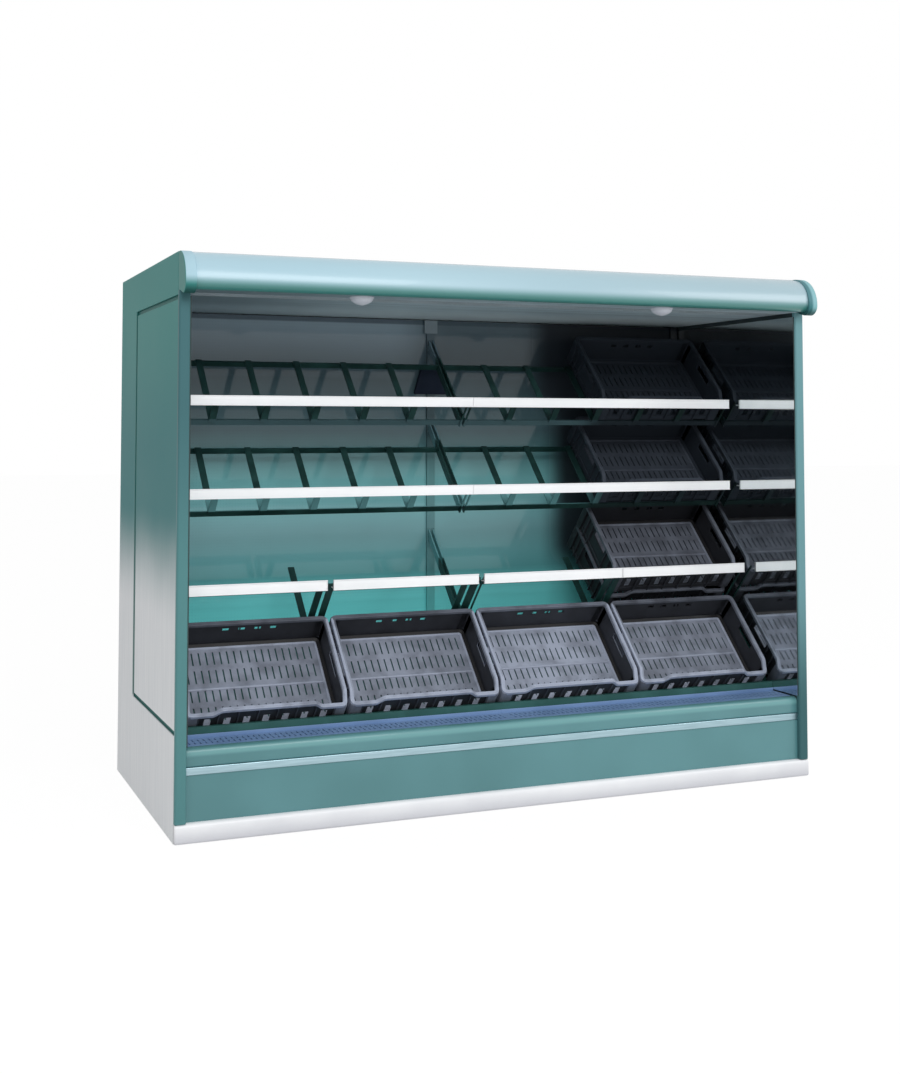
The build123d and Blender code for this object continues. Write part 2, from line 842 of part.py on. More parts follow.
# Air outlet: a frame of long vanes and short ribs in the ceiling behind the lamps
vane_pitch = (outlet_depth - outlet_vane) / (outlet_vanes - 1)
rib_step = (inner_length - outlet_vane) / (outlet_ribs - 1)
with BuildPart() as air_outlet:
    with BuildSketch(floor_plane(soffit_z)):
        with Locations((0, outlet_front + outlet_depth / 2)):
            with GridLocations(0, vane_pitch, 1, outlet_vanes):
                Rectangle(inner_length, outlet_vane)
            with GridLocations(rib_step, 0, outlet_ribs, 1):
                Rectangle(outlet_vane, outlet_depth)
    extrude(amount=outlet_height)
keep(air_outlet, "air_outlet")

# Canopy fascia: a sloping, slightly domed face that turns back in a rounded nose
fascia_inset = cap_margin + fascia_sheet / 2
nose_z = case_height - fascia_face


def fascia_line(inset):
    """Line of the canopy from the roof over the face and round the nose, drawn in by an inset."""
    nose_front = (inset - canopy_overhang, nose_z)
    nose_foot = (nose_front[0] + nose_radius - inset, nose_z - nose_radius + inset)
    face_top = (-post_depth, case_height - inset)
    TangentArc(nose_front, face_top, tangent=(0, 1))
    Line(face_top, (0, face_top[1]))
    return TangentArc(nose_front, nose_foot, tangent=(0, -1))


with BuildPart() as canopy_fascia:
    with BuildSketch(side_plane(-half_inner)):
        with BuildLine():
            fascia_nose = fascia_line(fascia_inset)
        trace(line_width=fascia_sheet)
    extrude(amount=inner_length)
fascia_foot = fascia_nose @ 1
keep(canopy_fascia, "canopy_fascia")

# Canopy end caps: full plates in front of the end panels, with a margin round the fascia
for side_name, side in (("left", -1), ("right", 1)):
    with BuildPart() as canopy_cap:
        with BuildSketch(side_plane(side * half_inner)):
            with BuildLine():
                nose = fascia_line(0)
                Polyline(nose @ 1, (-post_depth, soffit_z), (0, soffit_z), (0, case_height))
            make_face()
        extrude(amount=side * end_thickness)
    keep(canopy_cap, f"canopy_cap_{side_name}")

# Lamp panel: the strip of ceiling between the nose and the air outlet
lamp_front = (fascia_foot.X + sheet_room, fascia_foot.Y + soffit_sheet / 2)
lamp_rear = (outlet_front - sheet_room, soffit_z + soffit_sheet / 2)
lamp_fold = (lamp_rear[0], lamp_rear[1] + outlet_height)
lamp_panel_points = (lamp_front, lamp_rear, lamp_fold)
lamp_panel = folded_sheet(lamp_panel_points, soffit_sheet, -half_inner, inner_length)
keep(lamp_panel, "lamp_panel")

# Lamps: a many-sided lens with its lower edge eased twice, a quarter of the length in from each end
lamp_y = (lamp_front[0] + lamp_rear[0]) / 2
lamp_z = min(lamp_front[1], lamp_rear[1]) - soffit_sheet
for side_name, side in (("left", -1), ("right", 1)):
    lamp_face = Plane(
        origin=(side * bay_length, front_y + lamp_y, lamp_z), x_dir=(1, 0, 0), z_dir=(0, 0, -1)
    )
    with BuildPart() as lamp:
        with BuildSketch(lamp_face):
            RegularPolygon(lamp_radius, lamp_sides)
        extrude(amount=lamp_drop)
        for lens_ease in (lamp_ease, lamp_crown_ease):
            crown = lamp.faces().sort_by(Axis.Z)[0]
            chamfer(crown.edges(), length=lens_ease)
    keep(lamp, f"lamp_{side_name}")

# Produce crate, modelled once on the level with its front lower edge on the X axis
inner_wide = crate_length - 2 * crate_rim - 2 * crate_wall
inner_deep = crate_depth - 2 * crate_rim - 2 * crate_wall
crate_middle = crate_depth / 2
slot_spread = (inner_wide - floor_slot_border) / floor_slot_columns
crate_front = Plane(origin=(0, 0, 0), x_dir=(1, 0, 0), z_dir=(0, -1, 0))
crate_back = Plane(origin=(0, crate_depth, 0), x_dir=(-1, 0, 0), z_dir=(0, 1, 0))
wall_reach = crate_rim + crate_wall
with BuildPart() as crate:
    with BuildSketch():
        with Locations((0, crate_middle)):
            Rectangle(crate_length - 2 * crate_rim, crate_depth - 2 * crate_rim)
            corner_x = crate_length - crate_corner
            corner_y = crate_depth - crate_corner
            with GridLocations(corner_x, corner_y, 2, 2):
                Rectangle(crate_corner, crate_corner)
    extrude(amount=crate_height)
    with BuildSketch(Plane.XY.offset(crate_height - crate_rim_height)):
        with Locations((0, crate_middle)):
            Rectangle(crate_length, crate_depth)
    extrude(amount=crate_rim_height)
    with BuildSketch(Plane.XY.offset(crate_floor)):
        with Locations((0, crate_middle)):
            Rectangle(inner_wide, inner_deep)
    extrude(amount=crate_height - crate_floor, mode=Mode.SUBTRACT)
    with BuildSketch():
        with Locations((0, crate_middle)):
            with GridLocations(slot_spread, floor_row_pitch, floor_slot_columns, floor_slot_rows):
                Rectangle(floor_slot_width, floor_slot_length)
    extrude(amount=crate_floor, mode=Mode.SUBTRACT)
    with BuildSketch(crate_front):
        with Locations((0, crate_height)):
            with GridLocations(crate_length - shoulder_width, 0, 2, 1):
                Rectangle(shoulder_width, 2 * shoulder_drop)
        with Locations((0, crate_height / 2 - shoulder_drop / 2)):
            with GridLocations(front_slot_pitch, 0, front_slot_count, 1):
                Rectangle(front_slot_width, front_slot_height)
    extrude(amount=-wall_reach, mode=Mode.SUBTRACT)
    with BuildSketch(crate_back):
        with Locations((0, crate_height / 2)):
            with GridLocations(wall_slot_pitch, 0, wall_slot_count, 1):
                Rectangle(wall_slot_width, wall_slot_height)
    extrude(amount=-wall_reach, mode=Mode.SUBTRACT)
    for wall_x in (-crate_length / 2, crate_length / 2 - wall_reach):
        side_wall = Plane(origin=(wall_x, crate_middle, 0), x_dir=(0, 1, 0), z_dir=(1, 0, 0))
        with BuildSketch(side_wall):
            with Locations((0, crate_height - crate_rim_height - handle_height)):
                Rectangle(handle_width, handle_height)
        extrude(amount=wall_reach, mode=Mode.SUBTRACT)

# Where the crates stand: a row on the deck, a stack on the low rack, one on each upper rack
right_bay = crate_pitch * (bay_count - 1) / 2
stacked_seat = on_slope(low_seat, 0, crate_height + touch_gap)
crate_seats = {}
for index in range(bay_count):
    row_x = (index - (bay_count - 1) / 2) * crate_pitch
    crate_seats[f"deck_crate_{index + 1}"] = seat_plane(deck_seat, row_x)
crate_seats["low_crate_under"] = seat_plane(low_seat, right_bay)
crate_seats["low_crate_upper"] = seat_plane(stacked_seat, right_bay)
crate_seats["middle_crate"] = seat_plane(middle_seat, right_bay)
crate_seats["top_crate"] = seat_plane(top_seat, right_bay)
for crate_name, seat in crate_seats.items():
    with BuildPart() as placed_crate:
        with Locations(seat):
            add(crate.part)
    keep(placed_crate, crate_name)
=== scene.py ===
# %% [markdown]
# # Dressing a multideck display fridge
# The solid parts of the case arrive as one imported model: end panels, racks, crates and canopy,
# each where the drawing puts it. This lesson gives every part its finish, and makes the pieces
# that need a finer shape than a solid has, such as the crates, the canopy skin and the rails.

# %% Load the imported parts
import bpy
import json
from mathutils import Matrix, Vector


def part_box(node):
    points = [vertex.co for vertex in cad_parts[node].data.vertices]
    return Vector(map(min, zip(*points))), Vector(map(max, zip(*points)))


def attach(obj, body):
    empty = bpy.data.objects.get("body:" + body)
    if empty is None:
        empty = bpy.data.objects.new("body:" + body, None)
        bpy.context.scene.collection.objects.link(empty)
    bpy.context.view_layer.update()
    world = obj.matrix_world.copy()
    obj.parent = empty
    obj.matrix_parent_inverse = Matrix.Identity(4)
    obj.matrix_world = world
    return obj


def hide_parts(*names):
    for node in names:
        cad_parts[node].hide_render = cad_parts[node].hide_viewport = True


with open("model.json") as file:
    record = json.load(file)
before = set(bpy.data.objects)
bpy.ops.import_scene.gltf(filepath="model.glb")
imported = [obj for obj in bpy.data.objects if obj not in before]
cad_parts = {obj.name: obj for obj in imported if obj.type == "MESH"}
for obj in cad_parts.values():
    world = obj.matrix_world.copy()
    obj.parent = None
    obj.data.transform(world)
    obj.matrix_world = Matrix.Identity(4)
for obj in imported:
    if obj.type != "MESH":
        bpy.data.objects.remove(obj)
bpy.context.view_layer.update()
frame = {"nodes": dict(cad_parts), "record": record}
nodes = frame["nodes"]

# %% Tools used all through
import json
import math

import bpy
import numpy as np

MM = 0.001


def mm(*lengths):
    """Lengths in millimetres as an array in metres."""
    return np.array(lengths) * MM


def put(name, data):
    """A new object in the scene with the data that it shows."""
    made = bpy.data.objects.new(name, data)
    scene.collection.objects.link(made)
    return made


scene = bpy.context.scene
scene.view_settings.view_transform = "Standard"
print("Blender", bpy.app.version_string)

# %% [markdown]
# ## Where the photographer stood
# The edges of the case give the camera: its height is the level line where rows of edges stay
# level, and its turn is where the long edges run together. The picture is cropped low, which is a
# shift of the lens and not a tilt, so upright edges stay nearly upright.

# %% Camera
eye = bpy.data.cameras.new("eye")
eye.sensor_width = 36.0
eye.lens = 47.85
eye.shift_y = -0.1675
eye_object = put("eye", eye)
eye_object.location = (-2.2871, -5.4148, 1.4062)
eye_object.rotation_euler = (math.radians(92.894), 0.0, math.radians(-22.317))
scene.camera = eye_object
print("camera at", tuple(round(v, 3) for v in eye_object.location))

# %% [markdown]
# ## Sums on shader sockets
# A finish is a small sum over the surface: a colour that fades with height, or a grain times a
# mask. Wiring such sums by hand hides them, so one class lets a socket take part in Python sums.
# Every other kind of node comes from its one method, which sets the node up and then wires it.


# %% The socket class
class Shade:
    """A shader socket that joins in sums: a + b, 1 - a and a * b each add one Math node."""

    def __init__(self, tree, socket=None):
        self.tree = tree
        self.socket = socket

    def node(self, kind, inputs=None, out=0, **settings):
        """Add a node, set it up, fill its sockets with values or links, and give one output."""
        made = self.tree.nodes.new(kind)
        for key, value in settings.items():
            if key == "stops":
                while len(made.color_ramp.elements) < len(value):
                    made.color_ramp.elements.new(1.0)
                for stop, (place, colour) in zip(made.color_ramp.elements, value):
                    stop.position = place
                    stop.color = (*colour, 1.0)
            else:
                setattr(made, key, value)
        for key, value in (inputs or {}).items():
            if isinstance(value, Shade):
                self.tree.links.new(value.socket, made.inputs[key])
            else:
                made.inputs[key].default_value = value
        return Shade(self.tree, made.outputs[out] if made.outputs else None)

    def sum(self, operation, first, second):
        """Add one Math node on two values or sockets."""
        return self.node("ShaderNodeMath", {0: first, 1: second}, operation=operation)

    def __add__(self, other):
        return self.sum("ADD", self, other)

    def __sub__(self, other):
        return self.sum("SUBTRACT", self, other)

    def __rsub__(self, other):
        return self.sum("SUBTRACT", other, self)

    def __mul__(self, other):
        return self.sum("MULTIPLY", self, other)

    __radd__ = __add__
    __rmul__ = __mul__


print("class:", Shade.__name__)


# %% Words for masks
def along(place, axis):
    """One coordinate of a place, in metres."""
    return place.node("ShaderNodeSeparateXYZ", {0: place}, "XYZ".index(axis))


def from_middle(place):
    """How far a place is from the middle of the case along its length, in metres."""
    return place.node("ShaderNodeMath", {0: along(place, "X")}, operation="ABSOLUTE")


def grain(place, scale, stretch=(1, 1, 1), detail=2.0):
    """Soft noise from 0 to 1, with so many bumps a metre, drawn out where stretch is small."""
    moved = place.node("ShaderNodeMapping", {"Vector": place, "Scale": stretch})
    return place.node("ShaderNodeTexNoise", {"Vector": moved, "Scale": scale, "Detail": detail})


def fade(value, low, high):
    """Smooth step from 0 to 1 as a value goes from low to high."""
    ends = {"Value": value, "From Min": low, "From Max": high}
    return value.node("ShaderNodeMapRange", ends, interpolation_type="SMOOTHSTEP")


def band(value, first, last, ease):
    """1 between first and last, with a smooth step of one width just inside each of them."""
    return fade(value, first, first + ease) * (1.0 - fade(value, last - ease, last))


def right_half(place):
    """0 on the left half of the case and 1 on the right, with a smooth step between them."""
    return fade(along(place, "X"), -0.2, 0.2)


print("masks: grain, fade, band, right_half")


# %% Words for finishes
def rgba(red, green, blue):
    """A screen colour from 0 to 255 as the linear colour a shader takes."""
    screen = np.array([red, green, blue]) / 255.0
    linear = np.where(screen <= 0.04045, screen / 12.92, ((screen + 0.055) / 1.055) ** 2.4)
    return (*(round(float(v), 4) for v in linear), 1.0)


def blend(mask, first, second):
    """First colour where the mask is 0, second where it is 1, each a socket or a screen colour."""
    first, second = (c if isinstance(c, Shade) else rgba(*c) for c in (first, second))
    return mask.node("ShaderNodeMix", {0: mask, 6: first, 7: second}, 2, data_type="RGBA")


def mottled(cloud, dark, pale):
    """Colour that wanders between two tones with a cloud of noise."""
    return blend(fade(cloud, 0.3, 0.7), dark, pale)


def start_finish(name):
    """Start a material, and give the place of a point on the case, from which its sums begin."""
    material = finishes[name] = bpy.data.materials.new(name)
    material.use_nodes = True
    material.node_tree.nodes.clear()
    return Shade(material.node_tree).node("ShaderNodeTexCoord", out="Object")


def end_finish(bump, depth, strength, colour, roughness, gloss=0.5, **more):
    """Close a finish with one Principled shader: a bump of a depth and strength, and its look."""
    inputs = {"Base Color": colour, "Roughness": roughness, "Specular IOR Level": gloss}
    inputs.update({name.replace("_", " "): value for name, value in more.items()})
    if strength:
        relief = {"Strength": strength, "Distance": depth, "Height": bump}
        inputs["Normal"] = bump.node("ShaderNodeBump", relief)
    shader = bump.node("ShaderNodeBsdfPrincipled", inputs)
    bump.node("ShaderNodeOutputMaterial", {"Surface": shader})


finishes = {}
print("teal by eye:", rgba(95, 143, 147))

# %% [markdown]
# ## Shapes as arrays
# Most pieces of a shop fitting are a section carried along a straight or bent path: a rail, a
# canopy skin, a crate rim. Others are a sheet with a regular set of openings. Both are grids of
# points with two parameters, so numpy works them out in one go and Blender only receives them.


# %% Sections
def oblong(left, right, foot, head):
    """The four corners of a rectangle, in turn."""
    return np.array([(left, foot), (right, foot), (right, head), (left, head)])


def unit(way):
    """Ways as steps of length one: each vector over its length."""
    return way / np.linalg.norm(way, axis=1, keepdims=True)


def rounded(corners, radius, steps=5):
    """Closed section with eased corners.

    Each corner P becomes the curve (1-s)(1-s) A + 2 s (1-s) P + s s B, where A and B lie on the
    edges before and after it, one radius away.
    """
    corner = np.asarray(corners, float)
    before = np.roll(corner, 1, 0) - corner
    after = np.roll(corner, -1, 0) - corner
    reach = np.broadcast_to(radius, len(corner))[:, None]
    start, end = corner + unit(before) * reach, corner + unit(after) * reach
    s = np.linspace(0, 1, steps)[None, :, None]
    bend = (1 - s) ** 2 * start[:, None] + 2 * s * (1 - s) * corner[:, None] + s**2 * end[:, None]
    return bend.reshape(-1, 2)


def arc(middle, radius, first, last, steps):
    """Points of a circle: middle + radius (cos, sin), from a first angle to a last in degrees."""
    turn = np.radians(np.linspace(first, last, steps))
    return radius * np.stack([np.cos(turn), np.sin(turn)], 1) + middle


def eased_line(corners, radius, steps):
    """Open line with eased corners: the closed form, without the curves of the two ends."""
    bend = rounded(corners, radius, steps).reshape(len(corners), steps, 2)
    ends = np.asarray(corners, float)
    return np.concatenate([ends[:1], bend[1:-1].reshape(-1, 2), ends[-1:]])


def sheet_section(line, thickness):
    """Section of a bent sheet: the line moved half a thickness to each side and closed."""
    run = unit(np.gradient(line, axis=0))
    side = np.stack([-run[:, 1], run[:, 0]], 1) * thickness / 2
    return np.concatenate([line + side, (line - side)[::-1]])


def shrunk(section, amount):
    """Section with every point moved inwards, along the mean of its two edges' normals."""
    edge = unit(np.roll(section, -1, 0) - section)
    normal = np.stack([-edge[:, 1], edge[:, 0]], 1)
    before = np.roll(normal, 1, 0)
    miter = (before + normal) / (1 + (before * normal).sum(1, keepdims=True)).clip(0.3)
    turning = (section * np.roll(section, -1, 0)[:, ::-1] * [1, -1]).sum()
    return section + miter * amount * np.sign(turning)


print("points round an eased square:", len(rounded(oblong(0, 1, 0, 1), 0.1)))


# %% Shells
def tube_faces(rows, columns, ring=False):
    """Faces between rows of points, each row a ring. The ends meet in a ring too, or get caps."""
    i = np.arange(rows if ring else rows - 1)[:, None]
    j = np.arange(columns)[None, :]
    k, m = (i + 1) % rows, (j + 1) % columns
    corner = [i * columns + j, k * columns + j, k * columns + m, i * columns + m]
    faces = np.stack(corner, -1).reshape(-1, 4).tolist()
    if not ring:
        first = np.arange(columns)
        faces += [first[::-1].tolist(), (first + (rows - 1) * columns).tolist()]
    return faces


def carried(section, path, out, ring=False):
    """Section carried along a path: point = path + out * section x, lifted by section y."""
    points = path[:, None] + section[None, :, :1] * out[:, None]
    points[:, :, 2] += section[:, 1]
    return points.reshape(-1, 3), tube_faces(len(path), len(section), ring)


def slab(section, axis, low, high, ease, steps):
    """Section of the other two axes carried along one axis from low to high, with eased rims.

    Near each end the section shrinks by ease (1 - sin t) while it moves ease (1 - cos t) inwards,
    with t from 0 to 90 degrees, which is a quarter round.
    """
    t = np.radians(np.linspace(0, 90, steps))
    inset, moved = ease * (1 - np.sin(t)), ease * (1 - np.cos(t))
    place = np.concatenate([low + moved, (high - moved)[::-1]])
    points = np.zeros((len(place), len(section), 3))
    points[:, :, axis] = place[:, None]
    others = [a for a in range(3) if a != axis]
    points[:, :, others] = np.stack([shrunk(section, d) for d in (*inset, *inset[::-1])])
    return points.reshape(-1, 3), tube_faces(len(place), len(section))


def outward(shell):
    """The shell with its faces turned outwards: a closed shell has a volume above zero then."""
    points, faces = shell
    three = np.array([(f[0], f[k], f[k + 1]) for f in faces for k in range(1, len(f) - 1)])
    a, b, c = points[three[:, 0]], points[three[:, 1]], points[three[:, 2]]
    volume = (a * np.cross(b, c)).sum() / 6
    return (points, faces) if volume > 0 else (points, [f[::-1] for f in faces])


def gathered(*shells):
    """Several shells as one, each turned outwards."""
    turned = [outward(s) for s in shells]
    starts = np.cumsum([0] + [len(points) for points, _ in turned])
    points = np.concatenate([points for points, _ in turned])
    faces = [[i + start for i in f] for (_, fs), start in zip(turned, starts.tolist()) for f in fs]
    return points, faces


print("faces of a short tube:", len(tube_faces(3, 8)))


# %% Sheets with openings
def even(count, pitch, width):
    """Openings of one width at an even pitch about zero, as pairs of edges."""
    middle = (np.arange(count) - (count - 1) / 2) * pitch
    return np.stack([middle - width / 2, middle + width / 2], 1)


def lines_with(openings, ends, extra=()):
    """Grid lines across a strip with openings, and which strips between the lines are filled."""
    lines = np.unique(np.concatenate([np.ravel(openings), ends, extra]))
    middle = (lines[1:] + lines[:-1]) / 2
    filled = np.array([not any(low < m < high for low, high in openings) for m in middle])
    return lines, filled


def pierced(columns, rows, place, through):
    """Sheet over columns and rows of lines, open where both are, and closed round each opening.

    A point of the face is place(u, v), and the back is the face moved by the vector through. A
    wall stands on every line where a filled cell meets an empty one.
    """
    (us, filled_u), (vs, filled_v) = columns, rows
    solid = filled_u[:, None] | filled_v[None, :]
    u, v = np.meshgrid(us, vs, indexing="ij")
    face = np.stack(place(u, v), -1).reshape(-1, 3)
    points = np.concatenate([face, face + through])
    front = np.arange(len(face)).reshape(len(us), len(vs))
    back = front + len(face)
    cell = np.stack([front[:-1, :-1], front[1:, :-1], front[1:, 1:], front[:-1, 1:]], -1)[solid]
    faces = [cell, cell[:, ::-1] + len(face)]
    step_u = np.diff(np.pad(solid.astype(int), ((1, 1), (0, 0))), axis=0)
    step_v = np.diff(np.pad(solid.astype(int), ((0, 0), (1, 1))), axis=1)
    wall_u = np.stack([front[:, :-1], front[:, 1:], back[:, 1:], back[:, :-1]], -1)
    wall_v = np.stack([front[:-1, :], back[:-1, :], back[1:, :], front[1:, :]], -1)
    for step, wall in ((step_u, wall_u), (step_v, wall_v)):
        faces += [wall[step > 0], wall[step < 0][:, ::-1]]
    used, faces = np.unique(np.concatenate(faces), return_inverse=True)
    return points[used], faces.reshape(-1, 4).tolist()


print("edges of three slots:", even(3, 2.0, 1.0).tolist())


# %% Pieces
def make_piece(name, shell, slot, replaced=(), body="case", finish=None, ease=0, worn=None,
               crease=35):
    """Put a shell into Blender as a piece that rides on a body and stands for what it replaces.

    It has the finish of its slot, or else one of its own.
    """
    points, faces = shell
    mesh = bpy.data.meshes.new(name)
    mesh.from_pydata(points.tolist(), [], faces)
    mesh.polygons.foreach_set("use_smooth", np.ones(len(mesh.polygons), bool))
    mesh.set_sharp_from_angle(angle=math.radians(crease))
    if worn is not None:
        mesh.attributes.new("worn", "FLOAT", "POINT").data.foreach_set("value", worn)
    mesh.materials.append(finishes[finish or finish_of_slot[slot]])
    piece = put(name, mesh)
    if ease:
        bevel = piece.modifiers.new("ease", "BEVEL")
        bevel.width = ease
        bevel.segments = 2
        bevel.limit_method = "ANGLE"
        bevel.angle_limit = math.radians(crease)
    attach(piece, body)
    if replaced:
        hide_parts(*replaced)


def box_of(name):
    """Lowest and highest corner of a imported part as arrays."""
    low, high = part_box(name)
    return np.array(low), np.array(high)


print("base box:", *box_of("base_frame"))

# %% [markdown]
# ## Studio
# The case stands on a pale floor in even light, as for a catalogue page. The floor and the sky
# are white to the eye and to reflections, and the lamps stay low enough that paint keeps the
# colour it is given. The floor still takes part of its light from the lamps, so it shows a shadow.

# %% Floor
FLOOR_HALF, FLOOR_GREY, FLOOR_GLOW, SEEN_WHITE = 40.0, 0.86, 1.04, 0.9
WHITE = (1.0, 1.0, 1.0, 1.0)
floor_mesh = bpy.data.meshes.new("floor")
floor_corners = oblong(-FLOOR_HALF, FLOOR_HALF, -FLOOR_HALF, FLOOR_HALF)
floor_mesh.from_pydata([(x, y, 0.0) for x, y in floor_corners], [], [[0, 1, 2, 3]])
floor_object = put("floor", floor_mesh)


def rays_that_see(tree):
    """1 for a ray from the eye, or one that a mirror or a glass sends on, and 0 for the rest."""
    kinds = ("Is Camera Ray", "Is Glossy Ray", "Is Transmission Ray")
    eye_ray, gloss_ray, glass_ray = (tree.node("ShaderNodeLightPath", out=kind) for kind in kinds)
    return tree.node("ShaderNodeClamp", {0: eye_ray + gloss_ray + glass_ray})


tree = start_finish("floor")
matt = tree.node("ShaderNodeBsdfDiffuse", {"Color": (*[FLOOR_GREY] * 3, 1.0)})
glow = tree.node("ShaderNodeEmission", {"Color": WHITE, "Strength": FLOOR_GLOW})
seen = rays_that_see(tree) * SEEN_WHITE
shown = tree.node("ShaderNodeMixShader", {0: seen, 1: matt, 2: glow})
tree.node("ShaderNodeOutputMaterial", {"Surface": shown})
floor_mesh.materials.append(finishes["floor"])
print("floor:", floor_object.dimensions[:])

# %% Sky and lamps
SKY_LIGHT = 0.62
sky = bpy.data.worlds.new("sky")
sky.use_nodes = True
sky.node_tree.nodes.clear()
tree = Shade(sky.node_tree)
strength = SKY_LIGHT + (1.0 - SKY_LIGHT) * rays_that_see(tree)
light = tree.node("ShaderNodeBackground", {"Color": WHITE, "Strength": strength})
tree.node("ShaderNodeOutputWorld", {"Surface": light})
scene.world = sky


def softbox(name, place, aim, width, height, watts):
    """A broad lamp at a place, turned to an aim."""
    lamp = bpy.data.lights.new(name, "AREA")
    lamp.shape = "RECTANGLE"
    lamp.size, lamp.size_y, lamp.energy = width, height, watts
    lamp_object = put(name, lamp)
    lamp_object.location = place
    away = np.subtract(place, aim)
    turn = math.atan2(away[0], -away[1])
    lift = math.atan2(np.hypot(away[0], away[1]), away[2])
    lamp_object.rotation_euler = (lift, 0.0, turn)


softbox("front_box", (-1.2, -5.2, 3.9), (0.0, 0.0, 1.0), 4.0, 2.2, 140.0)
softbox("right_box", (4.6, -3.2, 3.2), (0.6, 0.0, 0.9), 2.4, 2.0, 60.0)

# %% [markdown]
# ## Painted steel
# The outside is sheet steel with a baked powder coat: even in colour, satin, with a faint orange
# peel. A slow cloud of noise shifts its tone a little, and a fine one gives the peel as bump. The
# tone also changes smoothly over the height and length of the case, as the light on it does.


# %% Teal coat
def end_coat(place, strength, *look, **more):
    """Close a powder coat, with the orange peel of baked paint as its bump."""
    end_finish(grain(place, 700.0, detail=1.0), 0.2 * MM, strength, *look, **more)


place = start_finish("teal_coat")
cloud = grain(place, 2.2)
colour = mottled(cloud, (77, 127, 131), (88, 139, 144))
# The soft bend of the lip looks up at the light, so it is paler.
bend = box_of("front_lip")[1][2] - 18 * MM
lit = band(along(place, "Z"), *bend + mm(-15, 15), 13 * MM)
colour = blend(0.85 * lit, colour, (108, 161, 163))
end_coat(place, 0.2, colour, 0.30 + 0.12 * cloud, Coat_Weight=0.15)
print("coats:", sorted(finishes))

# %% Ends of the case
# The ends go from teal at the head to bright grey at the foot: the grey is a painted reflection of
# the bright floor. The groove round the inset keeps the teal, and the inner faces are dark.
HALF_LONG, HALF_INSIDE = 1290 * MM, 1250 * MM
place = start_finish("side_coat")
high, end = along(place, "Z"), from_middle(place)
inset_low, inset_high = box_of("end_inset_left")
cloud = grain(place, 1.8)
brush = grain(place, 6.0, (1.0, 22.0, 0.5), detail=4.0)
# Painted reflection of the bright floor: grey below this level, teal above it.
level = fade(high + 0.10 * cloud - 0.05, 0.70, 1.12)
teal = blend(fade(high, 1.30, 1.85), (60, 122, 124), (68, 135, 131))
grey = mottled(brush, (221, 224, 227), (231, 233, 235))
groove_y = inset_high[1] + 8 * MM
beside = band(along(place, "Y"), *groove_y + mm(-26, 26), 12 * MM)
beside = beside * band(high, inset_low[2] - 20 * MM, inset_high[2] + 20 * MM, 20 * MM)
sunk = 1.0 - fade(end, *HALF_LONG - mm(6, 1.5))
groove = place.sum("MAXIMUM", 0.8 * beside, sunk)
outside = blend(groove, blend(level, grey, teal), (52, 110, 106))
outer = fade(end, *HALF_INSIDE + mm(0.2, 0.6))
colour = blend(outer, (52, 62, 64), outside)
end_coat(place, 0.2, colour, 0.42 + 0.1 * cloud, gloss=0.04)

# End posts: the same teal, with painted shade at the head of the left one and at the foot of the
# right one.
place = start_finish("post_coat")
high = along(place, "Z")
cloud = grain(place, 2.2)
left = blend(fade(high + 0.2 * cloud, 0.9, 1.6), (84, 132, 134), (66, 106, 111))
right = blend(fade(high, 0.25, 0.80), (62, 100, 104), (105, 147, 153))
colour = blend(right_half(place), left, right)
end_coat(place, 0.2, colour, 0.38 + 0.12 * cloud, gloss=0.12)
print("coats:", sorted(finishes))


# %% Canopy and its caps
def canopy_colour(place):
    """Pale blue, a painted highlight of the light on the teal skin, that turns to teal, its painted
    shadow side, over the last few centimetres above the foot of the nose; darker towards the right.
    """
    foot = box_of("canopy_fascia")[0][2]
    cloud = grain(place, 1.6, (0.4, 1.0, 1.0))
    left = mottled(cloud, (164, 196, 209), (172, 203, 215))
    right = mottled(cloud, (148, 175, 185), (157, 183, 193))
    face = blend(fade(along(place, "X"), -1.2, 1.2), left, right)
    # Painted shadow side of the nose, just above its foot.
    above = fade(along(place, "Z"), *foot + mm(10, 50))
    return blend(above, (58, 124, 119), face), cloud


place = start_finish("canopy_coat")
colour, cloud = canopy_colour(place)
end_coat(place, 0.15, colour, 0.30 + 0.08 * cloud, Coat_Weight=0.2)

# Caps: the canopy's colours on their edge, with painted shade at the foot and beside the skin of
# the right one, and teal outer faces.
place = start_finish("cap_coat")
colour, cloud = canopy_colour(place)
end = from_middle(place)
# Painted shade on the step beside the skin of the right cap.
beside = fade(end, *HALF_LONG - mm(28, 16))
deep_edge = blend(beside, (66, 118, 124), (134, 182, 188))
colour = blend(0.85 * right_half(place), colour, deep_edge)
# Painted shade at the foot of the caps.
foot = box_of("canopy_cap_left")[0][2]
low = 1.0 - fade(along(place, "Z"), *foot + mm(4, 34))
colour = blend(0.8 * low, colour, (34, 66, 64))
outer = fade(end, *HALF_LONG - mm(3.4, 1))
colour = blend(outer, colour, (72, 132, 127))
end_coat(place, 0.15, colour, 0.36 + 0.08 * cloud, gloss=0.04)
print("coats:", sorted(finishes))

# %% [markdown]
# ## Inside of the case
# The back wall is a glossy sheet, pierced for air: turquoise low down and greyer under the canopy.
# Its tones carry painted light and shade: painted light low down, painted shade of the racks and
# canopy higher up, a painted reflection of the grey ceiling near the top, and painted shade at the
# top right and in the corner along its head. Its right lies in the painted shade of the stacked
# crates. The uprights match it, a little deeper, and racks and deck have a dark green coat. Tones
# at a few heights, with smooth fades between them, are enough for all of these.

# %% Back wall and uprights
WALL_FOOT, WALL_RISE, UPRIGHT_HEAD = 0.6, 1.3, 1.824
# Wall colours at heights, with painted light and shade and a painted reflection of the ceiling.
WALL_LIGHT_TONES = (
    (0.66, (123, 235, 236)), (0.80, (94, 164, 168)), (0.98, (121, 175, 181)),
    (1.19, (116, 180, 183)), (1.40, (79, 106, 113)), (1.62, (62, 83, 91)), (1.84, (132, 152, 164)))


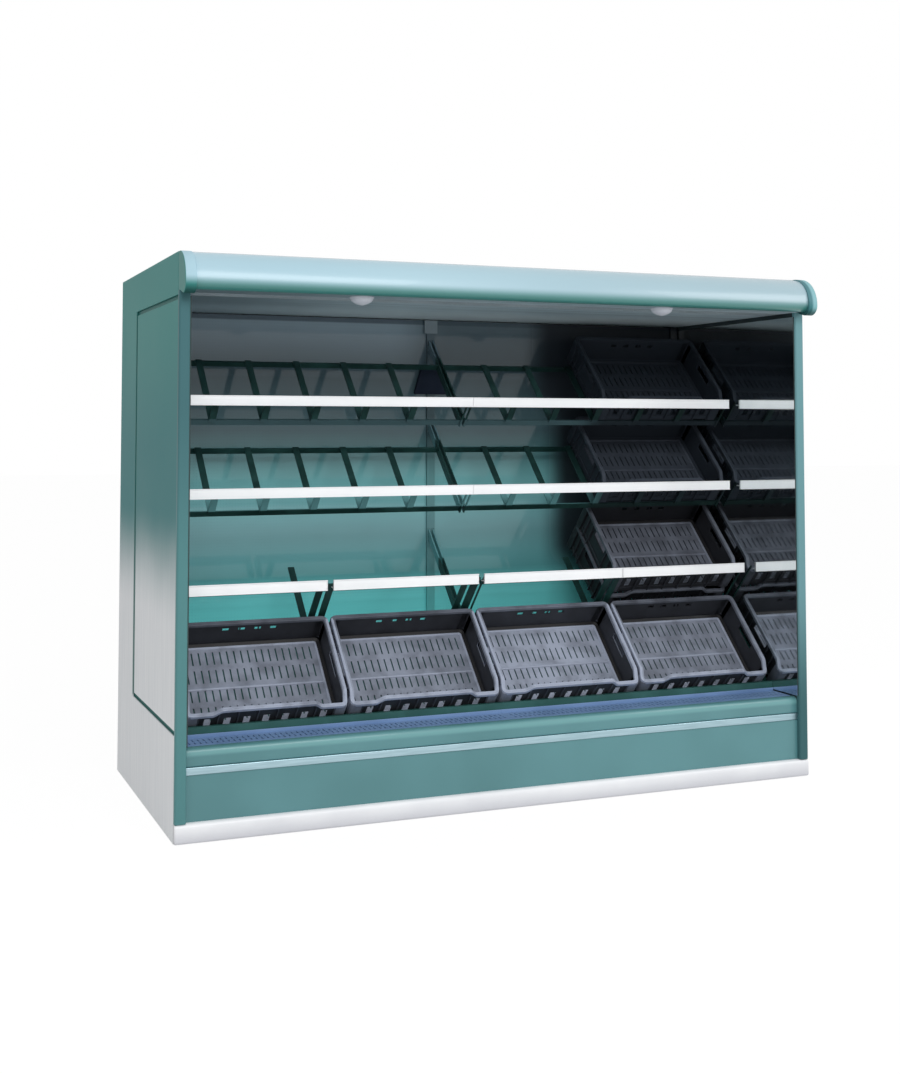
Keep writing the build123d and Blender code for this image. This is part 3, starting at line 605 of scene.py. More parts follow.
def wall_colour(place, light):
    """Colour of the wall at a place, its tones times light, with its cloud and its painted shade.

    The tones, painted light and shade included, are stops along the share of the wall's rise,
    which the cloud shifts a little; painted shade darkens the head, the top right and the part
    behind the crates.
    """
    high, across = along(place, "Z"), along(place, "X")
    cloud = grain(place, 2.4)
    stops = [((z - WALL_FOOT) / WALL_RISE, tuple(light * v for v in rgba(*colour)[:3]))
             for z, colour in WALL_LIGHT_TONES]
    share = (high + 0.03 * cloud - (WALL_FOOT + 0.015)) * (1 / WALL_RISE)
    tone = place.node("ShaderNodeValToRGB", {0: share}, stops=stops)
    # Painted shade in the corner under the ceiling, along the joint at the head of the wall.
    head = box_of("back_panel_left")[1][2]
    seam_shade = fade(high, *head - mm(24, 16))
    tone = blend(seam_shade, tone, (80, 96, 108))
    # Painted shade at the top right of the wall.
    far = fade(across, -0.2, 0.1) * fade(high, 1.60, 1.72)
    tone = blend(0.8 * far, tone, (52, 72, 81))
    # Painted shade of the stacked crates over the right of the wall.
    shade = fade(across + 0.08 * fade(high, 1.45, 1.60), 0.51, 0.67) * fade(high, 0.72, 0.90)
    return blend(0.96 * shade, tone, (30, 36, 44)), cloud, shade


place = start_finish("back_coat")
colour, cloud, shade = wall_colour(place, 1.0)
dots = place.node("ShaderNodeTexVoronoi", {"Vector": place, "Scale": 80.0, "Randomness": 0.0})
hole = 1.0 - fade(dots, 0.10, 0.16)
colour = blend(hole * 0.2, colour, (30, 50, 50))
end_finish(1.0 - hole, 0.5 * MM, 0.2, colour, 0.14 + 0.06 * cloud + 0.3 * shade, gloss=0.2,
           Coat_Weight=0.5 - 0.5 * shade)

place = start_finish("upright_coat")
colour, cloud, shade = wall_colour(place, 0.62)
head = fade(along(place, "Z"), *UPRIGHT_HEAD + mm(-2, 2))
colour = blend(head * (1.0 - shade), colour, (118, 132, 140))
end_finish(cloud, 1 * MM, 0.1, colour, 0.30 + 0.10 * cloud, gloss=0.3)
print("wall tones:", len(WALL_LIGHT_TONES))


# %% Racks and deck
# The coat wears a little paler in patches. The racks take the colour of the wall, with its painted
# light and shade, times a light of their own, where their side plates hang on the uprights and over
# a band of heights near their feet. The painted shade of the stacked crates falls on them too.
def rack_finish(name, dark, pale, hung_from=None, light=1.0, wall_band=None):
    """Dark green coat, darkened by the painted shade of the crates, with the wall's colour and its
    painted light and shade from a depth on and over a band of heights.
    """
    place = start_finish(name)
    cloud = grain(place, 9.0, detail=4.0)
    peel = grain(place, 600.0, detail=1.0)
    colour = blend(fade(cloud, 0.35, 0.75), dark, pale)
    if hung_from:
        wall, _, shade = wall_colour(place, light)
        # Painted shade of the stacked crates.
        colour = blend(0.6 * shade, colour, (12, 20, 21))
        # The side plates take the wall's colour, with its painted light and shade.
        hung = fade(along(place, "Y"), hung_from, hung_from + 16 * MM)
        colour = blend(hung, colour, wall)
    if wall_band:
        # The band of heights takes the wall's colour too, with its painted light and shade.
        feet = band(along(place, "Z"), *wall_band, 4 * MM)
        colour = blend(0.8 * feet, colour, wall_colour(place, 0.8)[0])
    end_finish(peel, 0.2 * MM, 0.25, colour, 0.34 + 0.16 * cloud, gloss=0.3)


GREEN, HUNG = ((20, 48, 46), (34, 68, 65)), 288 * MM
top_z, middle_z, rail_z = (
    box_of(name)[0][2] for name in ("top_rack_left", "middle_rack_left", "middle_rail_left"))
rack_finish("deck_coat", (38, 82, 78), (50, 96, 92))
rack_finish("rack_coat", *GREEN, HUNG, 1.8, (top_z - 6 * MM, top_z + 31 * MM))
rack_finish("middle_rack_coat", *GREEN, HUNG, 1.4, (middle_z + 26 * MM, rail_z + 4 * MM))
rack_finish("low_rack_coat", *GREEN, 250 * MM, 0.8)
print("rack coats:", [name for name in finishes if "rack" in name])

# %% Ceiling and liner
# The ceiling is grey sheet with long rolled streaks, darker at the left end, and paler towards the
# wall, where light thrown back by the wall is painted on. The liner is the light grey coated sheet
# of the back, roof and tub.
place = start_finish("ceiling_coat")
streak = grain(place, 26.0, (0.03, 1.0, 1.0), detail=3.0)
side = fade(along(place, "X"), -1.15, -0.25)
rolled = mottled(streak, (142, 160, 168), (184, 203, 211))
front = blend(side, (104, 121, 129), rolled)
# Painted light, thrown back by the wall, towards the rear of the ceiling.
rear = blend(side, (146, 168, 178), (204, 220, 226))
colour = blend(fade(along(place, "Y"), -0.15, 0.15), front, rear)
end_finish(streak, 0.3 * MM, 0.2, colour, 0.32 + 0.15 * streak)

place = start_finish("liner_coat")
cloud = grain(place, 2.0, detail=3.0)
ripple = grain(place, 5.0, (1.0, 1.0, 0.3))
colour = mottled(cloud, (183, 186, 189), (192, 195, 197))
end_finish(ripple, 4 * MM, 0.2, colour, 0.38 + 0.12 * cloud)
print("coats:", len(finishes))

# %% [markdown]
# ## Moulded plastic
# Crates, bumper, rails and grilles are mouldings. Their colour runs right through, so wear shows
# as a paler, rougher skin where things rub. The crates carry that wear, mixed with painted sheen
# and light, as a number on each point.


# %% Mouldings
def crate_finish(name, dark, pale, roughness, gloss):
    """Dark moulding that turns pale as far as its points carry wear and painted light, more in some
    patches.
    """
    place = start_finish(name)
    worn = place.node("ShaderNodeAttribute", out="Fac", attribute_name="worn")
    cloud = grain(place, 14.0, detail=4.0)
    scuff = grain(place, 120.0, (1.0, 0.3, 1.0), detail=3.0)
    paleness = worn * (0.55 + 0.45 * fade(cloud, 0.25, 0.7))
    colour = blend(paleness, dark, pale)
    end_finish(scuff, 0.4 * MM, 0.2, colour, roughness + 0.14 * cloud, gloss)


def moulding(name, dark, pale, roughness, gloss=0.5, foot=None):
    """Plain moulded plastic: two tones, a fine spark-eroded skin, and a tone of painted shade at
    its foot.
    """
    place = start_finish(name)
    cloud = grain(place, 5.0, detail=3.0)
    skin = grain(place, 350.0)
    colour = mottled(cloud, dark, pale)
    # Painted shade towards the floor.
    if foot:
        risen = fade(along(place, "Z") + 8 * MM * cloud, *mm(4, 66))
        colour = blend(risen, foot, colour)
    end_finish(skin, 0.2 * MM, 0.2, colour, roughness + 0.1 * cloud, gloss)


# Crates on the upper racks get a shaded copy of the crate moulding, matt and with little sheen,
# for the painted shade under the canopy. The bumper is near white at its top, and painted shade
# makes it greyer towards the floor.
crate_finish("crate_moulding", (20, 20, 23), (160, 168, 186), 0.42, 0.3)
crate_finish("shaded_crate_moulding", (38, 44, 52), (158, 167, 186), 0.55, 0.12)
moulding("grille_moulding", (106, 136, 178), (117, 147, 189), 0.45)
moulding("rail_moulding", (243, 245, 247), (248, 249, 251), 0.25)
moulding("outlet_moulding", (152, 166, 173), (166, 180, 187), 0.45)
moulding("fan_moulding", (56, 58, 62), (70, 72, 76), 0.45)
moulding("drain_moulding", (120, 122, 124), (138, 140, 142), 0.40)
moulding("motor_can", (34, 35, 38), (46, 47, 50), 0.35)
# The cover's dark tones also stand for painted shade and reflection under the top racks.
moulding("cover_moulding", (30, 37, 50), (38, 46, 60), 0.60, 0.04)
moulding("bumper_moulding", (232, 233, 237), (240, 241, 244), 0.32, foot=(202, 203, 209))
print("mouldings:", [name for name in finishes if "moulding" in name])

# %% [markdown]
# ## Metal and glass
# The trim is rolled aluminium, frame and feet are plated steel, and the coil has bare fins. Rolling
# and cutting leave a grain that runs one way, so the noise is drawn out along it. The mirrors are
# silvered sheet, and the lamps have frosted lenses.


# %% Metals and glass
def bare_metal(name, dark, pale, roughness, stretch, scale):
    """Bare or plated metal: metallic, with a grain that runs one way."""
    place = start_finish(name)
    run = grain(place, scale, stretch, detail=4.0)
    colour = mottled(run, dark, pale)
    end_finish(run, 0.2 * MM, 0.2, colour, roughness + 0.15 * run, Metallic=1.0)


EVEN, ALONG, UPRIGHT = (1.0, 1.0, 1.0), (0.05, 1.0, 1.0), (1.0, 0.05, 0.05)
bare_metal("trim_metal", (158, 186, 195), (174, 201, 210), 0.30, ALONG, 200.0)
bare_metal("galvanised", (150, 154, 158), (186, 189, 192), 0.38, EVEN, 40.0)
bare_metal("zinc_foot", (140, 142, 145), (170, 172, 174), 0.35, EVEN, 80.0)
bare_metal("coil_fins", (178, 182, 186), (206, 209, 211), 0.30, UPRIGHT, 260.0)

# Mirrors: silvered sheet with a dark cut edge towards the front.
place = start_finish("silvered_glass")
smear = grain(place, 4.0, (1.0, 1.0, 0.4), detail=4.0)
silver = mottled(smear, (220, 226, 227), (230, 235, 236))
cut = box_of("mirror_left")[0][1]
face = fade(along(place, "Y"), *cut + mm(0.6, 1.4))
colour = blend(face, (34, 52, 52), silver)
end_finish(smear, 0, 0, colour, 0.03 + 0.05 * smear, Metallic=face)

# Lamps: frosted, with a weak glow of their own.
place = start_finish("frosted_lens")
frost = grain(place, 500.0)
colour = mottled(frost, (168, 171, 181), (180, 183, 191))
end_finish(frost, 0.3 * MM, 0.3, colour, 0.35 + 0.1 * frost,
           Emission_Color=rgba(222, 232, 242), Emission_Strength=0.10)
print("finishes:", len(finishes))

# %% [markdown]
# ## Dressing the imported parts
# Most parts keep the shape that the drawing gives them and only need a finish. It follows from the
# slot of a part, but for a few that share a slot and look different.

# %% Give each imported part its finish
finish_of_slot = {
    "soffit_paint": "ceiling_coat", "trim_aluminium": "trim_metal", "frame_steel": "galvanised",
    "foot_steel": "zinc_foot", "coil_aluminium": "coil_fins", "motor_metal": "motor_can",
    "mirror_glass": "silvered_glass", "lamp_lens": "frosted_lens",
}
for what in ("teal", "canopy", "back", "rack", "liner"):
    finish_of_slot[f"{what}_paint"] = f"{what}_coat"
for what in ("outlet", "grille", "bumper", "rail", "crate", "fan", "drain"):
    finish_of_slot[f"{what}_plastic"] = f"{what}_moulding"
finish_of_start = {
    "end_panel": "side_coat", "end_inset": "side_coat", "end_post": "post_coat",
    "upright": "upright_coat", "low_rack": "low_rack_coat", "middle_rack": "middle_rack_coat",
    "deck_plate": "deck_coat", "canopy_cap": "cap_coat",
}
slot_of_node = {row["node"]: row["material_slot"] for row in frame["record"]["subparts"]}
for name, part in nodes.items():
    finish = finish_of_slot[slot_of_node[name]]
    for start, special in finish_of_start.items():
        if name.startswith(start):
            finish = special
    part.data.materials.clear()
    part.data.materials.append(finishes[finish])
print("dressed:", len(nodes))

# %% [markdown]
# ## Produce crates
# A stacking crate is one moulding: a lattice floor, four thin walls with slots for air, a rim that
# stiffens the top and angles at the corners that carry the crate above. The rim steps down round
# the two front corners. One crate is worked out on the level, with x along the case, u from its
# front to its back and w up from its floor, and then laid on the slope of each seat.

# %% Sizes of the crate, read from a packed one
SLOPE = math.radians(44)
slope_cos, slope_sin = math.cos(SLOPE), math.sin(SLOPE)
low, high = box_of("deck_crate_1")
CRATE_LONG = high[0] - low[0]
crate_mix = np.array([[slope_cos, slope_sin], [slope_sin, slope_cos]])
CRATE_DEEP, CRATE_HIGH = np.linalg.solve(crate_mix, (high - low)[1:])
RIM_OUT, RIM_WIDE, RIM_HIGH, WALL = mm(9, 16, 14, 4)
FLOOR_TOP, SLOT_TOP, BEAD, BEAD_IN = mm(6, 74, 5, 29)
SHOULDER_DROP, FRONT_STEP, SIDE_STEP = 24 * MM, mm(168, 206), mm(14, 60)
WALL_TOP, LONG_HALF = CRATE_HIGH - RIM_HIGH / 2, CRATE_LONG / 2 - RIM_OUT
# Openings, each as a count, a pitch and a width.
FLOOR_SLOTS, FLOOR_ROWS = (19, *mm(27, 5.5)), (4, *mm(82, 58))
FRONT_SLOTS, BACK_SLOTS, HAND_SLOT = (7, *mm(72, 26)), (4, *mm(62, 26)), (1, *mm(0, 110))
print("crate:", [round(v / MM, 1) for v in (CRATE_LONG, CRATE_DEEP, CRATE_HIGH)])


# %% Floor and walls
def smooth(value, low, high):
    """Smooth step s s (3 - 2 s) from 0 to 1 as a value goes from low to high."""
    s = np.clip((value - low) / (high - low), 0, 1)
    return s * s * (3 - 2 * s)


def shoulder(x, u):
    """How far the rim is let down: the full drop at a front corner, and a smooth step beside it."""
    return SHOULDER_DROP * smooth(np.abs(x), *FRONT_STEP) * (1 - smooth(u, *SIDE_STEP))


def crate_floor():
    """Lattice floor inside its bead: rows of narrow slots through a thin sheet."""
    half = CRATE_LONG / 2 - BEAD_IN
    columns = lines_with(even(*FLOOR_SLOTS), [-half, half])
    rows = lines_with(even(*FLOOR_ROWS) + CRATE_DEEP / 2, [BEAD_IN, CRATE_DEEP - BEAD_IN])
    return pierced(columns, rows, lambda x, u: (x, u, 0 * x + FLOOR_TOP), (0, 0, -WALL))


def crate_wall(axis, face, inward, slots, heights):
    """Wall with a row of slots: its parameters are the way along it and the height.

    A shoulder lowers the part above the slots, by the more the higher a point is.
    """
    middle = CRATE_DEEP / 2
    span = LONG_HALF if axis == 0 else middle - RIM_OUT
    step = np.linspace(*FRONT_STEP, 7) if axis == 0 else np.linspace(*SIDE_STEP, 7) - middle
    columns = lines_with(even(*slots), [-span, span], np.concatenate([step, -step]))
    rows = lines_with([heights], [0.0, WALL_TOP], [SLOT_TOP])

    def place(a, w):
        x, u = (a, 0 * a + face) if axis == 0 else (0 * a + face, a + middle)
        share = np.clip((w - SLOT_TOP) / (WALL_TOP - SLOT_TOP), 0, 1)
        return x, u, w - shoulder(x, u) * share

    through = np.zeros(3)
    through[1 - axis] = inward
    return pierced(columns, rows, place, through)


print("floor points:", len(crate_floor()[0]))


# %% Rings round the crate
def round_crate(inset, radius):
    """Closed path round the crate, so far inside its box, and the way out at each of its points."""
    a, b = CRATE_LONG / 2 - inset, CRATE_DEEP / 2 - inset
    turns = rounded(oblong(-a, a, -b, b), radius, 6).reshape(4, 6, 2)
    step = np.linspace(*FRONT_STEP, 9)
    xs = np.concatenate([-step[::-1], step])
    us = np.linspace(inset + radius, SIDE_STEP[1] + radius, 9)[1:] - CRATE_DEEP / 2
    front = np.stack([xs, np.full(len(xs), -b)], 1)
    side = np.stack([np.full(len(us), a), us], 1)
    flat = np.concatenate(
        [turns[0], front, turns[1], side, turns[2], turns[3], side[::-1] * [-1, 1]])
    run = unit(np.roll(flat, -1, 0) - np.roll(flat, 1, 0))
    zero = np.zeros((len(flat), 1))
    path = np.concatenate([flat + [0, CRATE_DEEP / 2], zero], 1)
    return path, np.concatenate([run[:, 1:], -run[:, :1], zero], 1)


def crate_ring(section, inset, radius, level, lowered=0.0):
    """Section carried right round the crate at one level, let down at the shoulders where asked."""
    path, out = round_crate(inset, radius)
    path[:, 2] = level - lowered * shoulder(path[:, 0], path[:, 1])
    return carried(section, path, out, ring=True)


half, dip = RIM_WIDE / 2, 0.8 * MM
rim_corners = [
    (half, -RIM_HIGH), (half, 0), (2.2 * MM, 0), (1.6 * MM, -dip),
    (-1.6 * MM, -dip), (-2.2 * MM, 0), (-half, 0), (-half, -RIM_HIGH)]
rim_section = rounded(rim_corners, mm(1.5, 2.2, 0.6, 0.6, 0.6, 0.6, 2.2, 1.5), 4)
bead_section = np.concatenate([arc((0, 0), BEAD, 0, 180, 7), [(-BEAD, -2 * MM), (BEAD, -2 * MM)]])
edge = BEAD_IN - RIM_OUT - WALL / 2
skirting = np.array(
    [(0, -WALL), (edge, -WALL), (edge, 8 * MM), (edge - WALL - 2 * MM, 6 * MM), (0, 0)])
skirt = rounded(oblong(*mm(-4, 3, 0, 3)), 0.8 * MM, 3)
print("rim section points:", len(rim_section))


# %% Ribs and corners
def bar(x, u, w):
    """Small upright bar between pairs of x, u and w, with eased ends."""
    return slab(oblong(*x, *u), 2, *w, 0.6 * MM, 2)


def crate_corner(sign_x, sign_u):
    """Corner angle: an L of two legs carried from the floor to the rim."""
    p, q, leg, thick = CRATE_LONG / 2 - 1 * MM, CRATE_DEEP / 2 - 1 * MM, 44 * MM, 12 * MM
    corners = [(p - leg, q), (p, q), (p, q - leg), (p - thick, q - leg),
               (p - thick, q - thick), (p - leg, q - thick)]
    angle = rounded(corners, mm(3, 14, 3, 3, 4, 3))
    section = angle * [sign_x, sign_u] + [0, CRATE_DEEP / 2]
    top = WALL_TOP - (SHOULDER_DROP if sign_u < 0 else 0)
    return slab(section, 2, 0.0, top, 1.5 * MM, 3)


def crate_ribs():
    """Thin ribs on the outside of the walls, which take the knocks."""
    outer, inner, half, ribs = 1.5 * MM, RIM_OUT + 1 * MM, 1.6 * MM, []
    for x in (np.arange(8) - 3.5) * FRONT_SLOTS[1]:
        across = (x - half, x + half)
        ribs.append(bar(across, (outer, inner), (0, WALL_TOP - shoulder(x, 0.0))))
        ribs.append(bar(across, (CRATE_DEEP - inner, CRATE_DEEP - outer), (0, WALL_TOP)))
    for side in (-1, 1):
        edges = np.sort([side * (CRATE_LONG / 2 - inner), side * (CRATE_LONG / 2 - outer)])
        for u in mm(80, 125, 275, 320):
            ribs.append(bar(edges, (u - half, u + half), (0, WALL_TOP)))
    return ribs


print("ribs:", len(crate_ribs()))

# %% The whole crate, with the wear of each shell
hand_heights, cross_deep = mm(78, 104), 184 * MM
cross_half = CRATE_LONG / 2 - BEAD_IN
cross_path = np.array([(-cross_half, cross_deep, FLOOR_TOP), (cross_half, cross_deep, FLOOR_TOP)])
# Each shell's number mixes wear with painted sheen and light: pale on the floor, beads and rim,
# dark on the walls and the skirting.
crate_shells = [
    (0.85, crate_floor()),
    (0.00, crate_ring(skirting, BEAD_IN, 8 * MM, FLOOR_TOP)),
    (1.30, carried(bead_section, cross_path, np.array([[0, 1, 0], [0, 1, 0]]))),
    (1.40, crate_ring(bead_section, BEAD_IN, 8 * MM, FLOOR_TOP)),
    (0.10, crate_wall(0, RIM_OUT, WALL, FRONT_SLOTS, (26 * MM, SLOT_TOP))),
    (0.06, crate_wall(0, CRATE_DEEP - RIM_OUT, -WALL, BACK_SLOTS, mm(84, 100))),
    (0.06, crate_wall(1, -LONG_HALF, WALL, HAND_SLOT, hand_heights)),
    (0.06, crate_wall(1, LONG_HALF, -WALL, HAND_SLOT, hand_heights)),
    (1.00, crate_ring(rim_section, RIM_WIDE / 2, 18 * MM, CRATE_HIGH, 1.0)),
    (0.20, crate_ring(skirt, RIM_OUT, 14 * MM, 20 * MM)),
]
crate_shells += [
    (0.45 if su < 0 else 0.06, crate_corner(sx, su)) for sx in (-1, 1) for su in (-1, 1)]
crate_shells += [(0.20, rib) for rib in crate_ribs()]
crate_points, crate_faces = gathered(*(shell for _, shell in crate_shells))
crate_wear_and_light = np.concatenate([np.full(len(shell[0]), worn) for worn, shell in crate_shells])
x, u, w = crate_points.T
crate_flank = np.abs(x) > LONG_HALF - 0.5 * MM
crate_flank &= np.abs(u - CRATE_DEEP / 2) < CRATE_DEEP / 2 - 15 * MM
# The front rim is painted paler, and the rear one darker.
on_rim = (w > CRATE_HIGH - SHOULDER_DROP - RIM_HIGH) & (crate_wear_and_light > 0.9)
depths = [0, 30 * MM, CRATE_DEEP - 60 * MM, CRATE_DEEP - 20 * MM]
crate_wear_and_light += on_rim * np.interp(u, depths, [0.3, 0.0, 0.0, -0.65])
print("crate points:", len(crate_points), "faces:", len(crate_faces))

# %% Lay a crate on every seat
# Each seat gives its crate a share of painted light: the crates on the upper racks lie in the shade
# of the canopy, so they stay dark. Those on the deck get painted light on their flanks, in the
# shaded gaps between them, but not beside the ends of the case.
FLANK_REACH, FLANK_LIGHT = 1.2, 0.9
light_on_seat = {
    "top_crate": 0.02, "middle_crate": 0.09, "low_crate_upper": 0.42, "low_crate_under": 0.3,
    "deck_crate_1": 0.88, "deck_crate_2": 0.92, "deck_crate_3": 1.26, "deck_crate_4": 0.87}
crate_names = [name for name in nodes if "crate" in name]
for name in crate_names:
    low, high = box_of(name)
    laid = np.stack([
        x + (low[0] + high[0]) / 2,
        low[1] + CRATE_HIGH * slope_sin + u * slope_cos - w * slope_sin,
        low[2] + u * slope_sin + w * slope_cos,
    ], 1)
    beside = crate_flank & (np.abs(laid[:, 0]) < FLANK_REACH) & ("deck" in name)
    # Crates on the upper racks take the shaded copy of the moulding.
    finish = "shaded_crate_moulding" if name.startswith(("top", "middle")) else "crate_moulding"
    make_piece(f"{name}_shell", (laid, crate_faces), "crate_plastic", [name], name, finish,
               worn=crate_wear_and_light * light_on_seat[name] + FLANK_LIGHT * beside)
print("crates:", crate_names)

# %% [markdown]
# ## Canopy
# The fascia is one long sheet, rolled to a gentle curve and turned under in a tight nose. Rolled
# steel has no facets, so it is a smooth line given a thickness and carried along the case. The
# caps at its ends are plates with a margin round the skin, so a thin step shows beside it.


# %% Canopy line
SKIN, LEVEL_END, HEEL = mm(3, 20, 16)


def canopy_line(front, back, foot, crown, nose=40 * MM):
    """Side view of a canopy: a quarter circle up from the foot, then the circle that leaves it
    upright and passes through the crown, and a short level end."""
    run, rise = back - LEVEL_END - front, crown - foot - nose
    radius = (run * run + rise * rise) / (2 * run)
    sweep = math.degrees(math.atan2(rise, radius - run))
    under = arc((front + nose, foot + nose), nose, 270, 180, 14)
    face = arc((front + radius, foot + nose), radius, 180, 180 - sweep, 30)
    return np.concatenate([under, face[1:], [(back, crown)]])


low, high = box_of("canopy_fascia")
# The skin is drawn out a little towards the line of the caps, which leaves them a narrow margin.
grow = 6 * MM - SKIN / 2
crown = box_of("canopy_cap_left")[1][2] - 4 * MM - SKIN / 2
skin_line = canopy_line(low[1] - grow, high[1] - 1 * MM, low[2] + SKIN / 2, crown, 32 * MM)
print("canopy line points:", len(skin_line))


# %% Canopy skin and caps
def straight(section, low_x, high_x, ease=0.5 * MM):
    """A side-view section carried along the case, with its two ends eased."""
    return slab(section, 0, low_x, high_x, ease, 3)


hem = skin_line[:1] + [9 * MM, 0]
skin_section = sheet_section(np.concatenate([hem, skin_line]), SKIN)
skin = straight(skin_section, low[0] + 0.5 * MM, high[0] - 0.5 * MM)
make_piece("canopy_skin", skin, "canopy_paint", ["canopy_fascia"])
for name in ("canopy_cap_left", "canopy_cap_right"):
    low, high = box_of(name)
    line = canopy_line(low[1], high[1], low[2], high[2])
    heel = [(high[1], low[2] + HEEL), (high[1] - LEVEL_END, low[2] + HEEL)]
    section = np.concatenate([line, heel])
    cap = slab(section, 0, low[0] + 0.3 * MM, high[0] - 0.3 * MM, 2.5 * MM, 4)
    make_piece(f"{name}_cover", cap, "canopy_paint", [name], finish="cap_coat", crease=25)
print("canopy pieces: skin and two caps")

# %% [markdown]
# ## Base cover
# The lip that hands rest on is folded sheet with one large soft bend. The trim below it is a rolled
# strip with a short skirt. The bumper is a stiff extruded moulding with a rounded top, which takes
# the knocks of trolleys. All three are one section along the whole case.

# %% Lip, trim and bumper
SHEET, LIP_DEEP, LIP_FALL, SKIRT = mm(3, 35, 9.5, 10)
low, high = box_of("front_lip")
y0, z0, z1 = low[1] + SHEET / 2, low[2] + SHEET / 2, high[2] - SHEET / 2
rear, ledge = low[1] + LIP_DEEP - SHEET / 2, high[2] - LIP_FALL
lip_line = [(low[1] + 22 * MM, z0), (y0, z0), (y0, z1), (rear, z1), (rear, ledge), (high[1], ledge)]
bends = mm(0, 4, 21, 3, 3, 0)
lip = straight(sheet_section(eased_line(lip_line, bends, 12), SHEET), low[0], high[0])
make_piece("front_lip_fold", lip, "teal_paint", ["front_lip"])

low, high = box_of("trim_strip")
(y0, z0), (y1, z1) = low[1:], high[1:]
face, foot = box_of("front_panel")[0][1] - 0.3 * MM, z0 - SKIRT
trim_corners = [(y0, foot), (face, foot), (face, z0), (y1, z0), (y1, z1), (y0, z1)]
section = rounded(trim_corners, mm(3, 0.5, 0.1, 0.5, 0.5, 3))
trim = straight(section, low[0], high[0])
make_piece("trim_channel", trim, "trim_aluminium", ["trim_strip"])

low, high = box_of("bumper")
(y0, z0), (y1, z1) = low[1:], high[1:]
section = rounded(oblong(y0, y1, z0, z1), mm(12, 1, 1, 19), 9)
bumper = slab(section, 0, low[0], high[0], 5 * MM, 5)
make_piece("bumper_cover", bumper, "bumper_plastic", ["bumper"])
print("base pieces: lip, trim, bumper")

# %% [markdown]
# ## Price rails
# A price rail is a pulled plastic section: a flat back, two small lips that hold a label, and a
# hook behind that clips over the rack stops. The label strip is a thin sheet sprung between the
# lips, so it bows forward a little.


# %% Rails
def rail_shells(low, high, ends, ease=0.5 * MM, foot_cut=0.0, head_cut=0.0):
    """The rail section, cut down at its foot or head, and its label, between pairs of ends.

    The label is bowed: with s from -1 to 1 over its height, it stands forward by 1 - s s.
    """
    (y0, z0), (y1, z1) = low[1:], high[1:]
    hook, z0, z1 = z0 + 14 * MM, z0 + foot_cut, z1 - head_cut
    lip, face, back = y0 + mm(1.6, 5, 9)
    corners = [
        (y0, z0), (back, z0), (back, hook), (y1 - 5 * MM, hook), (y1, hook + 4 * MM),
        (back, hook + 4 * MM), (back, z1), (y0, z1), (y0, z1 - 4 * MM), (lip, z1 - 4 * MM),
        (lip, z1 - 2 * MM), (face, z1 - 2 * MM), (face, z0 + 2 * MM), (lip, z0 + 2 * MM),
        (lip, z0 + 4 * MM), (y0, z0 + 4 * MM)]
    radii = mm(1.2, 1.5, 0.8, 1, 1, 0.8, 1.5, 1.2, 0.5, 0.5, 0.4, 0.4, 0.4, 0.4, 0.5, 0.5)
    section = rounded(corners, radii, 4)
    s = np.linspace(-1, 1, 13)
    bow, rise = 3.2 * MM - 1.4 * MM * (1 - s**2), s * (z1 - z0 - 5 * MM) / 2
    strip = sheet_section(np.stack([y0 + bow, (z0 + z1) / 2 + rise], 1), 0.6 * MM)
    shells = []
    for left, right in ends:
        shells += [straight(section, left, right, ease),
                   straight(strip, left + ease, right - ease, 0.1 * MM)]
    return gathered(*shells)


RAIL_GAP, BAY = 0.1 * MM, 625 * MM
for name in ("top_rail_left", "top_rail_right", "middle_rail_left", "middle_rail_right"):
    low, high = box_of(name)
    ends = [(low[0] + RAIL_GAP, high[0] - RAIL_GAP)]
    shell = rail_shells(low, high, ends, 0.12 * MM, head_cut=7 * MM)
    make_piece(f"{name}_profile", shell, "rail_plastic", [name])
low, high = box_of("low_rails")
joints = np.array([low[0], -BAY, 0.0, BAY, high[0]])
# The first two joints are open over a rack leg, and the third is tight.
starts, stops = mm(0.8, 0.8, 0.8, 0.2), mm(22, 22, 0.2, 0.8)
ends = list(zip(joints[:-1] + starts, joints[1:] - stops))
shell = rail_shells(low, high, ends, foot_cut=6 * MM)
make_piece("low_rail_profiles", shell, "rail_plastic", ["low_rails"])
print("rails:", 4 + len(ends))

# %% [markdown]
# ## Small steel parts
# Two flat legs stand on the low rack's front bar at the middle of the case, where the rails meet,
# and a pressed cover sits over the upright under the top racks; its dark colour also stands for the
# painted shade and reflection there. Each is a short section with eased rims.

# %% Rack legs
STRIP_REAR, STRIP_FRONT, ARM_DEEP = mm(3, 9, 32)
LEG_FOOT, LEG_TOP, LEG_HALF, LEG_PLACES = *mm(-30, 272, 13), mm(-25.2, -64)
low = box_of("low_rack_left")[0]
seat = low[1:] + [STRIP_FRONT * slope_cos + LEG_TOP * slope_sin,
                  STRIP_FRONT * slope_sin + ARM_DEEP * slope_cos]
leg_corners = oblong(-STRIP_FRONT, -STRIP_REAR, LEG_FOOT, LEG_TOP)
onto_slope = np.array([[slope_cos, slope_sin], [-slope_sin, slope_cos]])
leg_section = rounded(seat + leg_corners @ onto_slope, 1 * MM, 3)
legs = [straight(leg_section, x - LEG_HALF, x + LEG_HALF) for x in LEG_PLACES]
make_piece("low_rack_middle_legs", gathered(*legs), "rack_paint", finish="low_rack_coat")
print("legs:", len(legs))

# %% Cover on the upright
COVER_FOOT, COVER_HEAD, FOOT_HALF, HEAD_HALF = 1.559, 1.668, 80 * MM, 48 * MM
front = box_of("upright_centre")[0][1]
cover_corners = [(-FOOT_HALF, COVER_FOOT), (FOOT_HALF, COVER_FOOT),
                 (HEAD_HALF, COVER_HEAD), (-HEAD_HALF, COVER_HEAD)]
section = rounded(cover_corners, 8 * MM)
cover = slab(section, 1, front - 5 * MM, front + 9 * MM, 2.5 * MM, 4)
